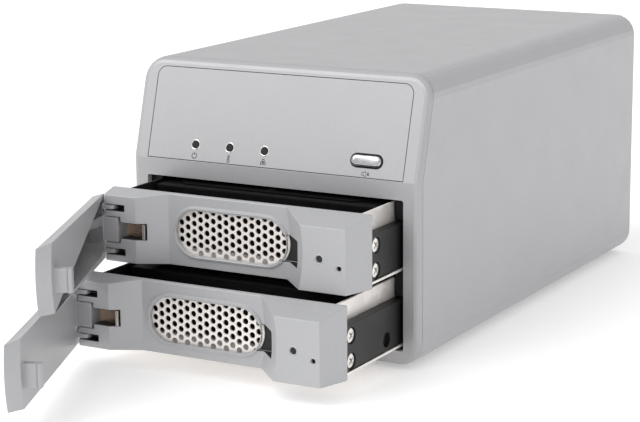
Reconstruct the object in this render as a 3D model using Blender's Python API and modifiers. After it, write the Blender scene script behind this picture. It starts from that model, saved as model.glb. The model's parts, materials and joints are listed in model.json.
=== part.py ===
"""Two-bay desktop network storage unit with pull-out drive trays.

Frame: X to the right, Y to the rear, Z up, in metres. The origin is on the ground, at the middle
of the whole footprint. Both trays are part of the way out and both tray levers stand open.
"""

import math

import bmesh
import bpy
from mathutils import Matrix, Vector

# ---------------------------------------------------------------- driving dimensions
# Housing
WIDTH = 0.134
HEIGHT = 0.1153
DEPTH = 0.232
CORNER_RADIUS = 0.0094
SHELL_WALL = 0.002
FOOT_HEIGHT = 0.0012
FOOT_RADIUS = 0.006
FOOT_INSET = 0.020
CONTACT_GAP = 0.0003
SLIDING_GAP = 0.0006

# Front mask: a vertical lower part and a slanted upper part that meet at the kink
SLANT_SETBACK = 0.0116
MASK_THICKNESS = 0.003
MASK_BEAD_RADIUS = 0.0024
KINK_RISE = 0.0072
OPENING_SIDE_GAP = 0.0005
OPENING_GAP_BELOW = 0.0004
OPENING_GAP_ABOVE = 0.0006

# Fascia, measured up the slant from the kink
PANEL_SIDE_MARGIN = 0.0074
PANEL_TOP_MARGIN = 0.0039
PANEL_BOTTOM = 0.0005
PANEL_THICKNESS = 0.001
PANEL_CORNER_RADIUS = 0.004
LIGHT_SPACING = 0.0165
LIGHT_FROM_EDGE = 0.0226
BUTTON_FROM_EDGE = 0.0167
CONTROL_ROW_HEIGHT = 0.0071
LIGHT_RADIUS = 0.0015
LIGHT_HOLE_RADIUS = 0.0019
BUTTON_LENGTH = 0.0134
BUTTON_HEIGHT = 0.0046
BUTTON_PROUD = 0.0012
BUTTON_TRAVEL = 0.0008
BUTTON_HOLE_MARGIN = 0.0004
BOARD_THICKNESS = 0.0016
FRONT_BOARD_DEPTH = 0.0070
FRONT_BOARD_LEFT = 0.008
FRONT_BOARD_RIGHT = 0.010
FRONT_BOARD_LOW = 0.002
FRONT_BOARD_HIGH = 0.0125
LIGHT_PROUD = 0.0002
BUTTON_BACK = 0.002
STEM_HALF_LENGTH = 0.0035
STEM_HALF_TALL = 0.0012
OPENING_CORNER = 0.0008

# Bays and trays
TRAY_STACK_GAP = 0.0016
FIRST_TRAY_HEIGHT = 0.0064
BEZEL_BACK_IN = 0.0018
UPPER_TRAY_OUT = 0.0266
LOWER_TRAY_OUT = 0.0469
CAGE_WALL = 0.0012
CAGE_PAST_TRAY = 0.0017
SOCKET_DEPTH = 0.0085
SOCKET_WIDTH = 0.044
SOCKET_LOW = 0.002
SOCKET_HIGH = 0.0075
SOCKET_WALL = 0.0015
SOCKET_SLOT_LOW = 0.0038
SOCKET_SLOT_HIGH = 0.0057
SOCKET_BACK = 0.003
BACKPLANE_SIDE_GAP = 0.0011
BACKPLANE_BELOW = 0.001
BACKPLANE_ABOVE = 0.0008
SOCKET_FROM_EDGE = 0.0251

# Tray bezel; what is measured from an edge is named for it
BEZEL_SIDE_OVERHANG = 0.001
BEVEL_DROP = 0.0037
BEZEL_DEPTH = 0.0143
BEVEL_SHORT = 0.0013
CHAMFER_SHORT = 0.002
GRILLE_FACE_SHORT = 0.0023
SIDE_CHAMFER_WIDTH = 0.004
HINGE_FACE_WIDTH = 0.0155
HINGE_FACE_DEPTH = 0.006
GRILLE_FACE_FROM_EDGE = 0.0277
LAND_WIDTH = 0.0257
LAND_BULGE = 0.003
LAMP_FROM_EDGE = 0.0155
LAMP_RAISE = 0.0003
LAMP_RADIUS = 0.0011
LOCK_FROM_EDGE = 0.0069
LOCK_DROP = 0.0026
LOCK_RADIUS = 0.001
LAND_WALL = 0.0024
LAND_POCKET_MARGIN = 0.0051
LAND_POCKET_BOTTOM = 0.0026
LAND_POCKET_TOP_MARGIN = 0.0036
LATCH_SLOT_START = 0.0046
LATCH_SLOT_WALL = 0.0012
LATCH_SLOT_INNER = 0.0138
LATCH_SLOT_OUTER = 0.0016
SLOT_LENGTH = 0.0102
CORNER_RELIEF = 0.0008

# Grille
GRILLE_RAISE = 0.0014
GRILLE_EDGE_MARGIN = 0.0073
GRILLE_FROM_FACE = 0.00375
GRILLE_PAST_RAMP = 0.00085
GRILLE_THICKNESS = 0.0008
GRILLE_LAP = 0.0012
GRILLE_RIM_WIDTH = 0.0016
GRILLE_RIM_PROUD = 0.0006
GRILLE_LIP = 0.001
HOLE_RADIUS = 0.00108
HOLE_PITCH = 0.00345
HOLE_SIDES = 6
HOLE_MARGIN = 0.0005

# Lever and its hinge
PIVOT_FROM_EDGE = 0.0025
HINGE_RAISE = 0.0004
KNUCKLE_MARGIN = 0.0154
KNUCKLE_POCKET_REACH = 0.0056
KNUCKLE_POCKET_DEPTH = 0.0044
ARM_SLOT_DEPTH = 0.0032
WINDOW_DEPTH = 0.0034
PIVOT_DEPTH = 0.0086
LEVER_THICKNESS = 0.0049
LEVER_TIP_GAP = 0.0005
LEVER_OPEN_ANGLE = math.radians(67.0)
ARM_TALL = 0.0020
ARM_MARGIN = 0.0037
PIN_RADIUS = 0.001
PIN_TOP_MARGIN = 0.0047
BARREL_RADIUS = 0.0024
ARM_BACK = 0.0022
ARM_FRONT = 0.0010
ROOT_SET_IN = 0.0006
LATCH_THICKNESS = 0.003
LATCH_SET_BACK = 0.0006
LATCH_BARB_START = 0.0048
LATCH_BARB_TIP = 0.0056
LATCH_TALL = 0.0094
LATCH_DROP = 0.0003
LATCH_REACH = 0.0067
SPRING_TALL = 0.0060
SPRING_FROM_EDGE = 0.0193
SPRING_FROM_PIVOT = 0.0060
SPRING_BOW_START = 0.0012
SPRING_BOW = 0.0024
SPRING_THICKNESS = 0.0004

# Tray frame, rails and drive
SHEET = 0.001
FLOOR_BOTTOM = 0.0012
FRAME_TOP_MARGIN = 0.0009
DRIVE_SIDE_GAP = 0.0022
DRIVE_TOP_GAP = 0.0007
WINDOW_MARGIN = 0.0034
WINDOW_TALL_MARGIN = 0.0012
FRONT_WALL_MARGIN = 0.0024
FRAME_SHORT = 0.0025
RAIL_SHORT = 0.0135
RAIL_WIDTH = 0.0045
RAIL_TOP_MARGIN = 0.0077
RAIL_BOTTOM = 0.0026
SCREW_BACK = 0.0049
SCREW_ABOVE_RAIL_BOTTOM = 0.0035
SCREW_BELOW_RAIL_TOP = 0.0046
SCREW_HEAD_RADIUS = 0.003
SCREW_HEAD_THICKNESS = 0.0012
SCREW_SHANK_RADIUS = 0.0012
DRIVE_WIDTH = 0.1016
DRIVE_LENGTH = 0.147
DRIVE_TALL = 0.0261
DRIVE_START = 0.0315
DRIVE_HOLES_FROM_REAR = (0.0285, 0.0701, 0.1301)
DRIVE_HOLE_HEIGHT = 0.0071
DRIVE_SEAT_DEPTH = 0.0022
DRIVE_EDGE = 0.0012
DRIVE_BOARD_MARGIN = 0.003
DRIVE_BOARD_START = 0.030
LIGHT_PIPE_START = 0.0005
LIGHT_PIPE_PAST = 0.006

# Rear
POST_REACH = 0.0075
REAR_SCREW_REACH = 0.007
POST_DEPTH = 0.012
POST_TALL = 0.009
LOWER_POST_HEIGHT = 0.022
UPPER_POST_MARGIN = 0.0193
REAR_PANEL_THICKNESS = 0.0012
REAR_PANEL_INSET = 0.0025
FAN_SIZE = 0.060
FAN_FROM_SIDE = 0.015
FAN_THICKNESS = 0.015
FAN_WALL = 0.0014
FAN_FLOOR_GAP = 0.004
STRUT_HALF_WIDTH = 0.0012
STRUT_SET_IN = 0.0003
STRUT_THICKNESS = 0.0018
HUB_PLATE = 0.0024
SHAFT_RADIUS = 0.0012
BEARING_DEPTH = 0.006
BLADE_TIP_GAP = 0.0012
BLADE_HALF_CHORD = 0.0062
BLADE_HALF_THICKNESS = 0.0006
BLADE_PITCH = math.radians(38.0)
GUARD_WIRE = 0.0018
GUARD_INSET = 0.0011
GUARD_INNER = 0.0065
GUARD_THICKNESS = 0.001
FAN_HUB_RADIUS = 0.0115
FAN_BLADES = 7
INLET_X = 0.040
INLET_TOP_MARGIN = 0.0203
INLET_WIDTH = 0.027
INLET_DEPTH = 0.020
INLET_LIP = 0.0012
INLET_FLANGE = 0.0015
INLET_CAVITY_WALL = 0.0015
INLET_CAVITY_TALL_WALL = 0.0018
INLET_CAVITY_CORNER = 0.004
INLET_PIN_SPACING = 0.007
INLET_PIN_RISE = 0.002
INLET_PIN_HALF_WIDTH = 0.001
INLET_PIN_HALF_TALL = 0.002
INLET_TALL = 0.0196
INLET_CAVITY_DEPTH = 0.0155
INLET_PIN_SETBACK = 0.005
SWITCH_X = 0.013
SWITCH_WIDTH = 0.013
SWITCH_TALL = 0.0192
SWITCH_DEPTH = 0.012
SWITCH_LIP = 0.001
SWITCH_FLANGE = 0.0012
SWITCH_WALL = 0.0014
SWITCH_WELL_DEPTH = 0.007
ROCKER_AXLE_DEPTH = 0.0026
ROCKER_BACK = 0.0016
ROCKER_FACE = 0.0022
ROCKER_ANGLE = math.radians(8.0)
JACK_X = -0.030
JACK_WIDTH = 0.016
JACK_TALL = 0.0134
JACK_DEPTH = 0.021
JACK_CAVITY_WIDTH = 0.0118
JACK_CAVITY_DEPTH = 0.0125
JACK_CAVITY_LOW = 0.002
JACK_CAVITY_HIGH = 0.0102
USB_FROM_SIDE = 0.016
USB_WIDTH = 0.0132
USB_TALL = 0.0072
USB_DEPTH = 0.014
USB_WALL = 0.0005
USB_FLOOR = 0.0008
USB_CAVITY_DEPTH = 0.0115
USB_TONGUE_SIDE = 0.0011
USB_TONGUE_LOW = 0.0044
USB_TONGUE_HIGH = 0.0062
BOARD_ABOVE_OPENING = 0.0078
BOARD_RIGHT = 0.001
BOARD_END_GAP = 0.0008
ELECTRONICS_LENGTH = 0.1183
SUPPLY_LEFT = 0.006
SUPPLY_SIDE_MARGIN = 0.011
SUPPLY_REAR_GAP = 0.0323
SUPPLY_TOP_MARGIN = 0.0063

# ---------------------------------------------------------------- sizes that follow
# Tray depths, from the bezel and the drive
BEZEL_BEVEL_DEPTH = BEZEL_DEPTH - BEVEL_SHORT
SIDE_CHAMFER_DEPTH = BEZEL_DEPTH - CHAMFER_SHORT
GRILLE_FACE_DEPTH = BEZEL_DEPTH - GRILLE_FACE_SHORT
TRAY_CLOSED_PROUD = BEZEL_DEPTH - BEZEL_BACK_IN
FRAME_START = BEZEL_DEPTH + CONTACT_GAP
DRIVE_END = DRIVE_START + DRIVE_LENGTH
FRAME_END = DRIVE_END - FRAME_SHORT
RAIL_END = DRIVE_END - RAIL_SHORT

# Tray heights, from the drive
DRIVE_BASE = FLOOR_BOTTOM + SHEET + CONTACT_GAP
BEZEL_HEIGHT = DRIVE_BASE + DRIVE_TALL + DRIVE_TOP_GAP
BEZEL_EDGE_HEIGHT = BEZEL_HEIGHT - BEVEL_DROP
BEZEL_MIDDLE = BEZEL_EDGE_HEIGHT / 2
BAY_PITCH = BEZEL_HEIGHT + TRAY_STACK_GAP
FRAME_SIDE_TOP = BEZEL_HEIGHT - FRAME_TOP_MARGIN
RAIL_TOP = FRAME_SIDE_TOP - RAIL_TOP_MARGIN
SCREW_HEIGHTS = (RAIL_BOTTOM + SCREW_ABOVE_RAIL_BOTTOM, RAIL_TOP - SCREW_BELOW_RAIL_TOP)
HINGE_HEIGHT = BEZEL_MIDDLE + HINGE_RAISE
KNUCKLE_TALL = BEZEL_EDGE_HEIGHT - KNUCKLE_MARGIN
ARM_OFFSET = BEZEL_MIDDLE - ARM_MARGIN
PIN_LENGTH = BEZEL_HEIGHT - PIN_TOP_MARGIN
LATCH_HEIGHT = BEZEL_MIDDLE - LATCH_DROP
LAMP_HEIGHT = BEZEL_MIDDLE + LAMP_RAISE
LOCK_HEIGHT = BEZEL_MIDDLE - LOCK_DROP
GRILLE_HEIGHT = BEZEL_MIDDLE + GRILLE_RAISE
GRILLE_TALL = BEZEL_EDGE_HEIGHT - GRILLE_EDGE_MARGIN

# Tray widths, from the drive
FRAME_WIDTH = DRIVE_WIDTH + 2 * (SHEET + DRIVE_SIDE_GAP)
RAIL_OUTER = FRAME_WIDTH / 2 + RAIL_WIDTH
BEZEL_HALF = RAIL_OUTER + BEZEL_SIDE_OVERHANG
PIVOT_X = PIVOT_FROM_EDGE - BEZEL_HALF
HINGE_FACE_END = HINGE_FACE_WIDTH - BEZEL_HALF
GRILLE_FACE_START = GRILLE_FACE_FROM_EDGE - BEZEL_HALF
SLOT_END = SLOT_LENGTH - BEZEL_HALF
SPRING_END = SPRING_FROM_EDGE - BEZEL_HALF
LAND_EDGE = BEZEL_HALF - LAND_WIDTH
LAMP_X = BEZEL_HALF - LAMP_FROM_EDGE
LOCK_X = BEZEL_HALF - LOCK_FROM_EDGE
GRILLE_LEFT = GRILLE_FACE_START + GRILLE_FROM_FACE
GRILLE_RIGHT = LAND_EDGE - GRILLE_FACE_DEPTH + GRILLE_PAST_RAMP
GRILLE_LENGTH = GRILLE_RIGHT - GRILLE_LEFT
GRILLE_X = (GRILLE_LEFT + GRILLE_RIGHT) / 2
SOCKET_X = SOCKET_FROM_EDGE - DRIVE_WIDTH / 2

# The bay opening and the fascia above it
OPENING_WIDTH = 2 * (BEZEL_HALF + OPENING_SIDE_GAP)
OPENING_BOTTOM = FIRST_TRAY_HEIGHT - OPENING_GAP_BELOW
OPENING_TOP = FIRST_TRAY_HEIGHT + BAY_PITCH + BEZEL_HEIGHT + OPENING_GAP_ABOVE
KINK_HEIGHT = OPENING_TOP + KINK_RISE
PANEL_WIDTH = WIDTH - 2 * PANEL_SIDE_MARGIN
PANEL_TOP = math.hypot(HEIGHT - KINK_HEIGHT, SLANT_SETBACK) - PANEL_TOP_MARGIN
LIGHT_FIRST_X = LIGHT_FROM_EDGE - PANEL_WIDTH / 2
BUTTON_X = PANEL_WIDTH / 2 - BUTTON_FROM_EDGE

# Housing and rear
BASE = FOOT_HEIGHT + CONTACT_GAP
TOP = BASE + HEIGHT
KINK = BASE + KINK_HEIGHT
HALF_WIDTH = WIDTH / 2
SLANT = math.atan2(SLANT_SETBACK, HEIGHT - KINK_HEIGHT)
SHELL_START = MASK_THICKNESS + CONTACT_GAP
RAIL_INNER = FRAME_WIDTH / 2 + CONTACT_GAP
CAGE_HALF = RAIL_OUTER + SLIDING_GAP
CAGE_START = SHELL_START
SCREW_DEPTH = FRAME_START + SCREW_BACK
PANEL_BACK = DEPTH - REAR_PANEL_INSET
PANEL_FRONT = PANEL_BACK - REAR_PANEL_THICKNESS
BEVEL_ANGLE = math.atan2(BEVEL_DROP, BEZEL_BEVEL_DEPTH)
CUT = 0.004
POST_SCREW_X = HALF_WIDTH - SHELL_WALL - POST_REACH / 2
LIGHT_PLACES = [LIGHT_FIRST_X + LIGHT_SPACING * index for index in range(3)]
TRAY_DOCKED_END = DRIVE_END - TRAY_CLOSED_PROUD + CONTACT_GAP
CAGE_END = TRAY_DOCKED_END + CAGE_PAST_TRAY
FAN_BORE = FAN_SIZE - 2 * FAN_WALL
FAN_HEIGHT = SHELL_WALL + FAN_FLOOR_GAP + FAN_SIZE / 2
FAN_X = FAN_FROM_SIDE + FAN_SIZE / 2 - HALF_WIDTH
INLET_HEIGHT = HEIGHT - INLET_TOP_MARGIN
USB_X = USB_FROM_SIDE - HALF_WIDTH
MAIN_BOARD_HEIGHT = max(OPENING_TOP + BOARD_ABOVE_OPENING,
                        FAN_HEIGHT + FAN_SIZE / 2 + SLIDING_GAP)
PORT_BASE = BASE + MAIN_BOARD_HEIGHT + BOARD_THICKNESS + CONTACT_GAP
SCREW_POST_HEIGHTS = (BASE + LOWER_POST_HEIGHT,
                      max(TOP - UPPER_POST_MARGIN,
                          PORT_BASE + USB_TALL + SLIDING_GAP + POST_TALL / 2))
GRILLE_SEAT = GRILLE_FACE_DEPTH + GRILLE_LIP
LEVER_TIP = LAND_EDGE - LEVER_TIP_GAP - PIVOT_X
# The front of the whole footprint is the tip of the lower tray's open lever
FOOTPRINT_FRONT = (PIVOT_DEPTH - TRAY_CLOSED_PROUD - LOWER_TRAY_OUT
                   - (LEVER_TIP + LAND_BULGE) * math.sin(LEVER_OPEN_ANGLE)
                   - PIVOT_DEPTH * math.cos(LEVER_OPEN_ANGLE))
FOOTPRINT_MIDDLE = (FOOTPRINT_FRONT + DEPTH) / 2


# ---------------------------------------------------------------- scene and materials
def clear_scene():
    for old in list(bpy.data.objects):
        bpy.data.objects.remove(old, do_unlink=True)


def new_collection(name):
    made = bpy.data.collections.new(name)
    bpy.context.scene.collection.children.link(made)
    return made


def new_material(name, color, roughness, metallic=0.0):
    made = bpy.data.materials.new(name)
    made.use_nodes = True
    made.diffuse_color = (*color, 1.0)
    shader = made.node_tree.nodes["Principled BSDF"]
    shader.inputs["Base Color"].default_value = (*color, 1.0)
    shader.inputs["Roughness"].default_value = roughness
    shader.inputs["Metallic"].default_value = metallic
    return made


clear_scene()
PARTS = new_collection("network_storage")
CUTTERS = new_collection("cutters")
UNIT = bpy.data.objects.new("unit_origin", None)
UNIT.location = (0.0, -FOOTPRINT_MIDDLE, 0.0)
PARTS.objects.link(UNIT)
SILVER_PAINT = new_material("silver_paint", (0.56, 0.56, 0.58), 0.42, 0.3)
TRAY_SILVER = new_material("tray_silver", (0.52, 0.53, 0.55), 0.38, 0.3)
BLACK_PLASTIC = new_material("black_plastic", (0.02, 0.02, 0.021), 0.5)
BLACK_STEEL = new_material("black_steel", (0.012, 0.012, 0.013), 0.55)
ZINC_SHEET = new_material("zinc_sheet", (0.62, 0.6, 0.57), 0.38, 0.8)
RAIL_BLACK = new_material("rail_charcoal", (0.04, 0.04, 0.042), 0.45)
PLATED_GRILLE = new_material("plated_grille", (0.62, 0.58, 0.55), 0.3, 0.9)
BRIGHT_NICKEL = new_material("bright_nickel", (0.72, 0.7, 0.66), 0.2, 1.0)
CHROME = new_material("chrome", (0.75, 0.75, 0.76), 0.08, 1.0)
BRONZE = new_material("spring_bronze", (0.42, 0.3, 0.2), 0.3, 1.0)
LENS = new_material("lamp_lens", (0.12, 0.13, 0.14), 0.15)
DRIVE_CASE = new_material("drive_casting", (0.2, 0.2, 0.21), 0.45, 0.7)
BOARD_GREEN = new_material("board_green", (0.02, 0.1, 0.04), 0.5)
RUBBER = new_material("rubber", (0.015, 0.015, 0.015), 0.8)
STEEL = new_material("steel", (0.5, 0.5, 0.5), 0.35, 0.9)


# ---------------------------------------------------------------- modelling helpers
def store(name, bm, material, parent=None):
    """Turn a bmesh into a named object; without a material it is a cutter."""
    bmesh.ops.recalc_face_normals(bm, faces=bm.faces)
    mesh = bpy.data.meshes.new(name)
    bm.to_mesh(mesh)
    bm.free()
    made = bpy.data.objects.new(name, mesh)
    made.parent = parent or UNIT
    if material is None:
        CUTTERS.objects.link(made)
        made.hide_render = True
        made.display_type = "WIRE"
        return made
    PARTS.objects.link(made)
    mesh.materials.append(material)
    mesh.shade_smooth()
    mesh.set_sharp_from_angle(angle=math.radians(30.0))
    return made


def pivot(name, location, rotation=(0.0, 0.0, 0.0), parent=None):
    made = bpy.data.objects.new(name, None)
    made.location = location
    made.rotation_euler = rotation
    made.empty_display_size = 0.01
    made.parent = parent or UNIT
    PARTS.objects.link(made)
    return made


def box_mesh(low, high):
    bm = bmesh.new()
    bmesh.ops.create_cube(bm, size=1.0)
    low, high = Vector(low), Vector(high)
    bmesh.ops.scale(bm, vec=high - low, verts=bm.verts)
    bmesh.ops.translate(bm, vec=(low + high) / 2, verts=bm.verts)
    return bm


def box(name, low, high, material=None, parent=None):
    return store(name, box_mesh(low, high), material, parent)


def rod_mesh(radius, start, end, sides=16, end_radius=None):
    """A cylinder or cone between two points."""
    start, end = Vector(start), Vector(end)
    bm = bmesh.new()
    bmesh.ops.create_cone(bm, cap_ends=True, segments=sides, radius1=radius,
                          radius2=radius if end_radius is None else end_radius,
                          depth=(end - start).length)
    turn = (end - start).to_track_quat("Z", "Y").to_matrix().to_4x4()
    bmesh.ops.transform(bm, matrix=Matrix.Translation((start + end) / 2) @ turn, verts=bm.verts)
    return bm


def rod(name, radius, start, end, material=None, parent=None, sides=16, end_radius=None):
    return store(name, rod_mesh(radius, start, end, sides, end_radius), material, parent)


PLANES = {
    "XY": Matrix(((1, 0, 0, 0), (0, 1, 0, 0), (0, 0, 1, 0), (0, 0, 0, 1))),
    "XZ": Matrix(((1, 0, 0, 0), (0, 0, 1, 0), (0, 1, 0, 0), (0, 0, 0, 1))),
}


def outline_mesh(loops, plane, low, high):
    """Extrude closed outlines, the first outside and the others as holes, from low to high."""
    curve = bpy.data.curves.new("outline", "CURVE")
    curve.dimensions = "2D"
    curve.fill_mode = "BOTH"
    curve.extrude = (high - low) / 2
    for loop in loops:
        spline = curve.splines.new("POLY")
        spline.points.add(len(loop) - 1)
        for point, (u, v) in zip(spline.points, loop):
            point.co = (u, v, 0.0, 1.0)
        spline.use_cyclic_u = True
    flat = bpy.data.objects.new("outline", curve)
    bpy.context.scene.collection.objects.link(flat)
    graph = bpy.context.evaluated_depsgraph_get()
    mesh = bpy.data.meshes.new_from_object(flat.evaluated_get(graph))
    bm = bmesh.new()
    bm.from_mesh(mesh)
    bpy.data.meshes.remove(mesh)
    bpy.data.objects.remove(flat, do_unlink=True)
    bpy.data.curves.remove(curve)
    bmesh.ops.remove_doubles(bm, verts=bm.verts, dist=0.000002)
    bmesh.ops.translate(bm, vec=(0.0, 0.0, (low + high) / 2), verts=bm.verts)
    bmesh.ops.transform(bm, matrix=PLANES[plane], verts=bm.verts)
    bmesh.ops.recalc_face_normals(bm, faces=bm.faces)
    bmesh.ops.dissolve_limit(bm, angle_limit=0.001, verts=bm.verts, edges=bm.edges)
    bmesh.ops.triangulate(bm, faces=[face for face in bm.faces if len(face.verts) > 4])
    return bm


def outline(name, loops, plane, low, high, material=None, parent=None):
    return store(name, outline_mesh(loops, plane, low, high), material, parent)


def boolean(target, operation, others):
    for other in others:
        step = target.modifiers.new(operation.lower(), "BOOLEAN")
        step.operation = operation
        step.solver = "EXACT"
        step.object = other


def cut(target, *others):
    boolean(target, "DIFFERENCE", others)


def join(target, *others):
    boolean(target, "UNION", others)


# ---------------------------------------------------------------- outlines
def arc(centre, radius, start, end, steps):
    """Points on a circle from one angle to another, in degrees, both ends included."""
    points = []
    for step in range(steps + 1):
        angle = math.radians(start + (end - start) * step / steps)
        points.append((centre[0] + radius * math.cos(angle), centre[1] + radius * math.sin(angle)))
    return points


def circle(centre, radius, sides):
    return arc(centre, radius, 0.0, 360.0, sides)[:-1]


def rounded(low, high, radius, steps=4):
    return (arc((high[0] - radius, low[1] + radius), radius, -90.0, 0.0, steps)
            + arc((high[0] - radius, high[1] - radius), radius, 0.0, 90.0, steps)
            + arc((low[0] + radius, high[1] - radius), radius, 90.0, 180.0, steps)
            + arc((low[0] + radius, low[1] + radius), radius, 180.0, 270.0, steps))


def rectangle(low, high):
    return [(low[0], low[1]), (high[0], low[1]), (high[0], high[1]), (low[0], high[1])]


def centred(x, z, width, tall):
    return (x - width / 2, z - tall / 2), (x + width / 2, z + tall / 2)


def capsule(x, z, length, tall, steps=8):
    reach = (length - tall) / 2
    return (arc((x + reach, z), tall / 2, -90.0, 90.0, steps)
            + arc((x - reach, z), tall / 2, 90.0, 270.0, steps))


# ---------------------------------------------------------------- housing
def slant_front(bm, is_front):
    """Split a housing mesh at the kink and lean what is_front picks above it to the rear."""
    bmesh.ops.bisect_plane(bm, geom=bm.verts[:] + bm.edges[:] + bm.faces[:],
                           plane_co=(0.0, 0.0, KINK), plane_no=(0.0, 0.0, 1.0), dist=0.000001)
    for vert in bm.verts:
        if vert.co.z > KINK and is_front(vert):
            vert.co.y += (vert.co.z - KINK) * math.tan(SLANT)


def housing_block(start, end):
    """A block of the housing's outline with its four long edges rounded."""
    bm = box_mesh((-HALF_WIDTH, start, BASE), (HALF_WIDTH, end, TOP))
    long_edges = [edge for edge in bm.edges
                  if abs(edge.verts[0].co.y - edge.verts[1].co.y) > 0.5 * (end - start)]
    bmesh.ops.bevel(bm, geom=long_edges, offset=CORNER_RADIUS, segments=6, profile=0.5,
                    affect="EDGES")
    return bm


def make_outer_shell():
    bm = housing_block(SHELL_START, DEPTH)
    ends = [face for face in bm.faces if abs(face.normal.y) > 0.9]
    bmesh.ops.delete(bm, geom=ends, context="FACES_ONLY")
    slant_front(bm, lambda vert: vert.co.y < DEPTH / 2)
    shell = store("outer_shell", bm, SILVER_PAINT)
    wall = shell.modifiers.new("wall", "SOLIDIFY")
    wall.thickness = SHELL_WALL
    wall.offset = -1.0
    wall.use_even_offset = True
    for side in (-1, 1):
        for height in SCREW_POST_HEIGHTS:
            inner = side * (HALF_WIDTH - SHELL_WALL - POST_REACH)
            outer = side * (HALF_WIDTH - SHELL_WALL / 2)
            low = (min(inner, outer), PANEL_FRONT - CONTACT_GAP - POST_DEPTH, height - POST_TALL / 2)
            high = (max(inner, outer), PANEL_FRONT - CONTACT_GAP, height + POST_TALL / 2)
            join(shell, box("screw_post", low, high))
            x = side * POST_SCREW_X
            cut(shell, rod("post_hole", SCREW_SHANK_RADIUS + CONTACT_GAP,
                           (x, PANEL_FRONT - POST_DEPTH + CUT / 2, height),
                           (x, PANEL_FRONT + CUT, height), sides=12))


def make_front_mask(fascia):
    bm = housing_block(0.0, MASK_THICKNESS)
    rim = [edge for edge in bm.edges
           if all(abs(vert.co.y) < CONTACT_GAP / 2 for vert in edge.verts)]
    bmesh.ops.bevel(bm, geom=rim, offset=MASK_BEAD_RADIUS, segments=3, profile=0.5, affect="EDGES")
    slant_front(bm, lambda vert: True)
    mask = store("front_mask", bm, SILVER_PAINT)
    low = (-OPENING_WIDTH / 2, BASE + OPENING_BOTTOM)
    high = (OPENING_WIDTH / 2, BASE + OPENING_TOP)
    cut(mask, outline("bay_opening", [rounded(low, high, OPENING_CORNER, 2)], "XZ",
                      -CUT, MASK_THICKNESS + CUT))
    cut(mask, outline("panel_recess", [panel_outline(CONTACT_GAP)], "XZ", -CUT,
                      PANEL_THICKNESS + CONTACT_GAP, parent=fascia))
    for x in LIGHT_PLACES:
        cut(mask, rod("light_passage", LIGHT_HOLE_RADIUS, (x, -CUT, CONTROL_ROW_HEIGHT),
                      (x, FRONT_BOARD_DEPTH, CONTROL_ROW_HEIGHT), parent=fascia))
    cut(mask, outline("button_passage", [button_outline(BUTTON_HOLE_MARGIN)], "XZ", -CUT,
                      FRONT_BOARD_DEPTH, parent=fascia))


def panel_outline(margin):
    """The fascia panel: square lower corners and rounded upper ones."""
    half = PANEL_WIDTH / 2 + margin
    top = PANEL_TOP + margin
    bottom = PANEL_BOTTOM - margin
    radius = PANEL_CORNER_RADIUS + margin
    return ([(-half, bottom), (half, bottom)]
            + arc((half - radius, top - radius), radius, 0.0, 90.0, 5)
            + arc((radius - half, top - radius), radius, 90.0, 180.0, 5))


def button_outline(margin):
    return capsule(BUTTON_X, CONTROL_ROW_HEIGHT, BUTTON_LENGTH + 2 * margin,
                   BUTTON_HEIGHT + 2 * margin)


def make_fascia(fascia):
    holes = [circle((x, CONTROL_ROW_HEIGHT), LIGHT_HOLE_RADIUS, 16) for x in LIGHT_PLACES]
    outline("fascia_panel", [panel_outline(0.0), *holes, button_outline(BUTTON_HOLE_MARGIN)],
            "XZ", 0.0, PANEL_THICKNESS, SILVER_PAINT, fascia)
    for name, x in zip(("power_light", "temperature_light", "fan_light"), LIGHT_PLACES):
        rod(name, LIGHT_RADIUS, (x, -LIGHT_PROUD, CONTROL_ROW_HEIGHT),
            (x, FRONT_BOARD_DEPTH - CONTACT_GAP, CONTROL_ROW_HEIGHT), LENS, fascia)
    box("front_board", (LIGHT_PLACES[0] - FRONT_BOARD_LEFT, FRONT_BOARD_DEPTH, FRONT_BOARD_LOW),
        (BUTTON_X + FRONT_BOARD_RIGHT, FRONT_BOARD_DEPTH + BOARD_THICKNESS, FRONT_BOARD_HIGH),
        BOARD_GREEN, fascia)
    button = outline("mute_button", [button_outline(0.0)], "XZ", -BUTTON_PROUD, BUTTON_BACK,
                     CHROME, fascia)
    stem_end = FRONT_BOARD_DEPTH - BUTTON_TRAVEL - CONTACT_GAP
    join(button, box("button_stem", (BUTTON_X - STEM_HALF_LENGTH, BUTTON_BACK / 2,
                                     CONTROL_ROW_HEIGHT - STEM_HALF_TALL),
                     (BUTTON_X + STEM_HALF_LENGTH, stem_end,
                      CONTROL_ROW_HEIGHT + STEM_HALF_TALL), parent=fascia))


def make_feet():
    places = [(side * (HALF_WIDTH - FOOT_INSET), y)
              for side in (-1, 1) for y in (FOOT_INSET, DEPTH - FOOT_INSET)]
    names = ("front_left_foot", "rear_left_foot", "front_right_foot", "rear_right_foot")
    for name, (x, y) in zip(names, places):
        rod(name, FOOT_RADIUS, (x, y, 0.0), (x, y, FOOT_HEIGHT), RUBBER, sides=20)


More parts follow.
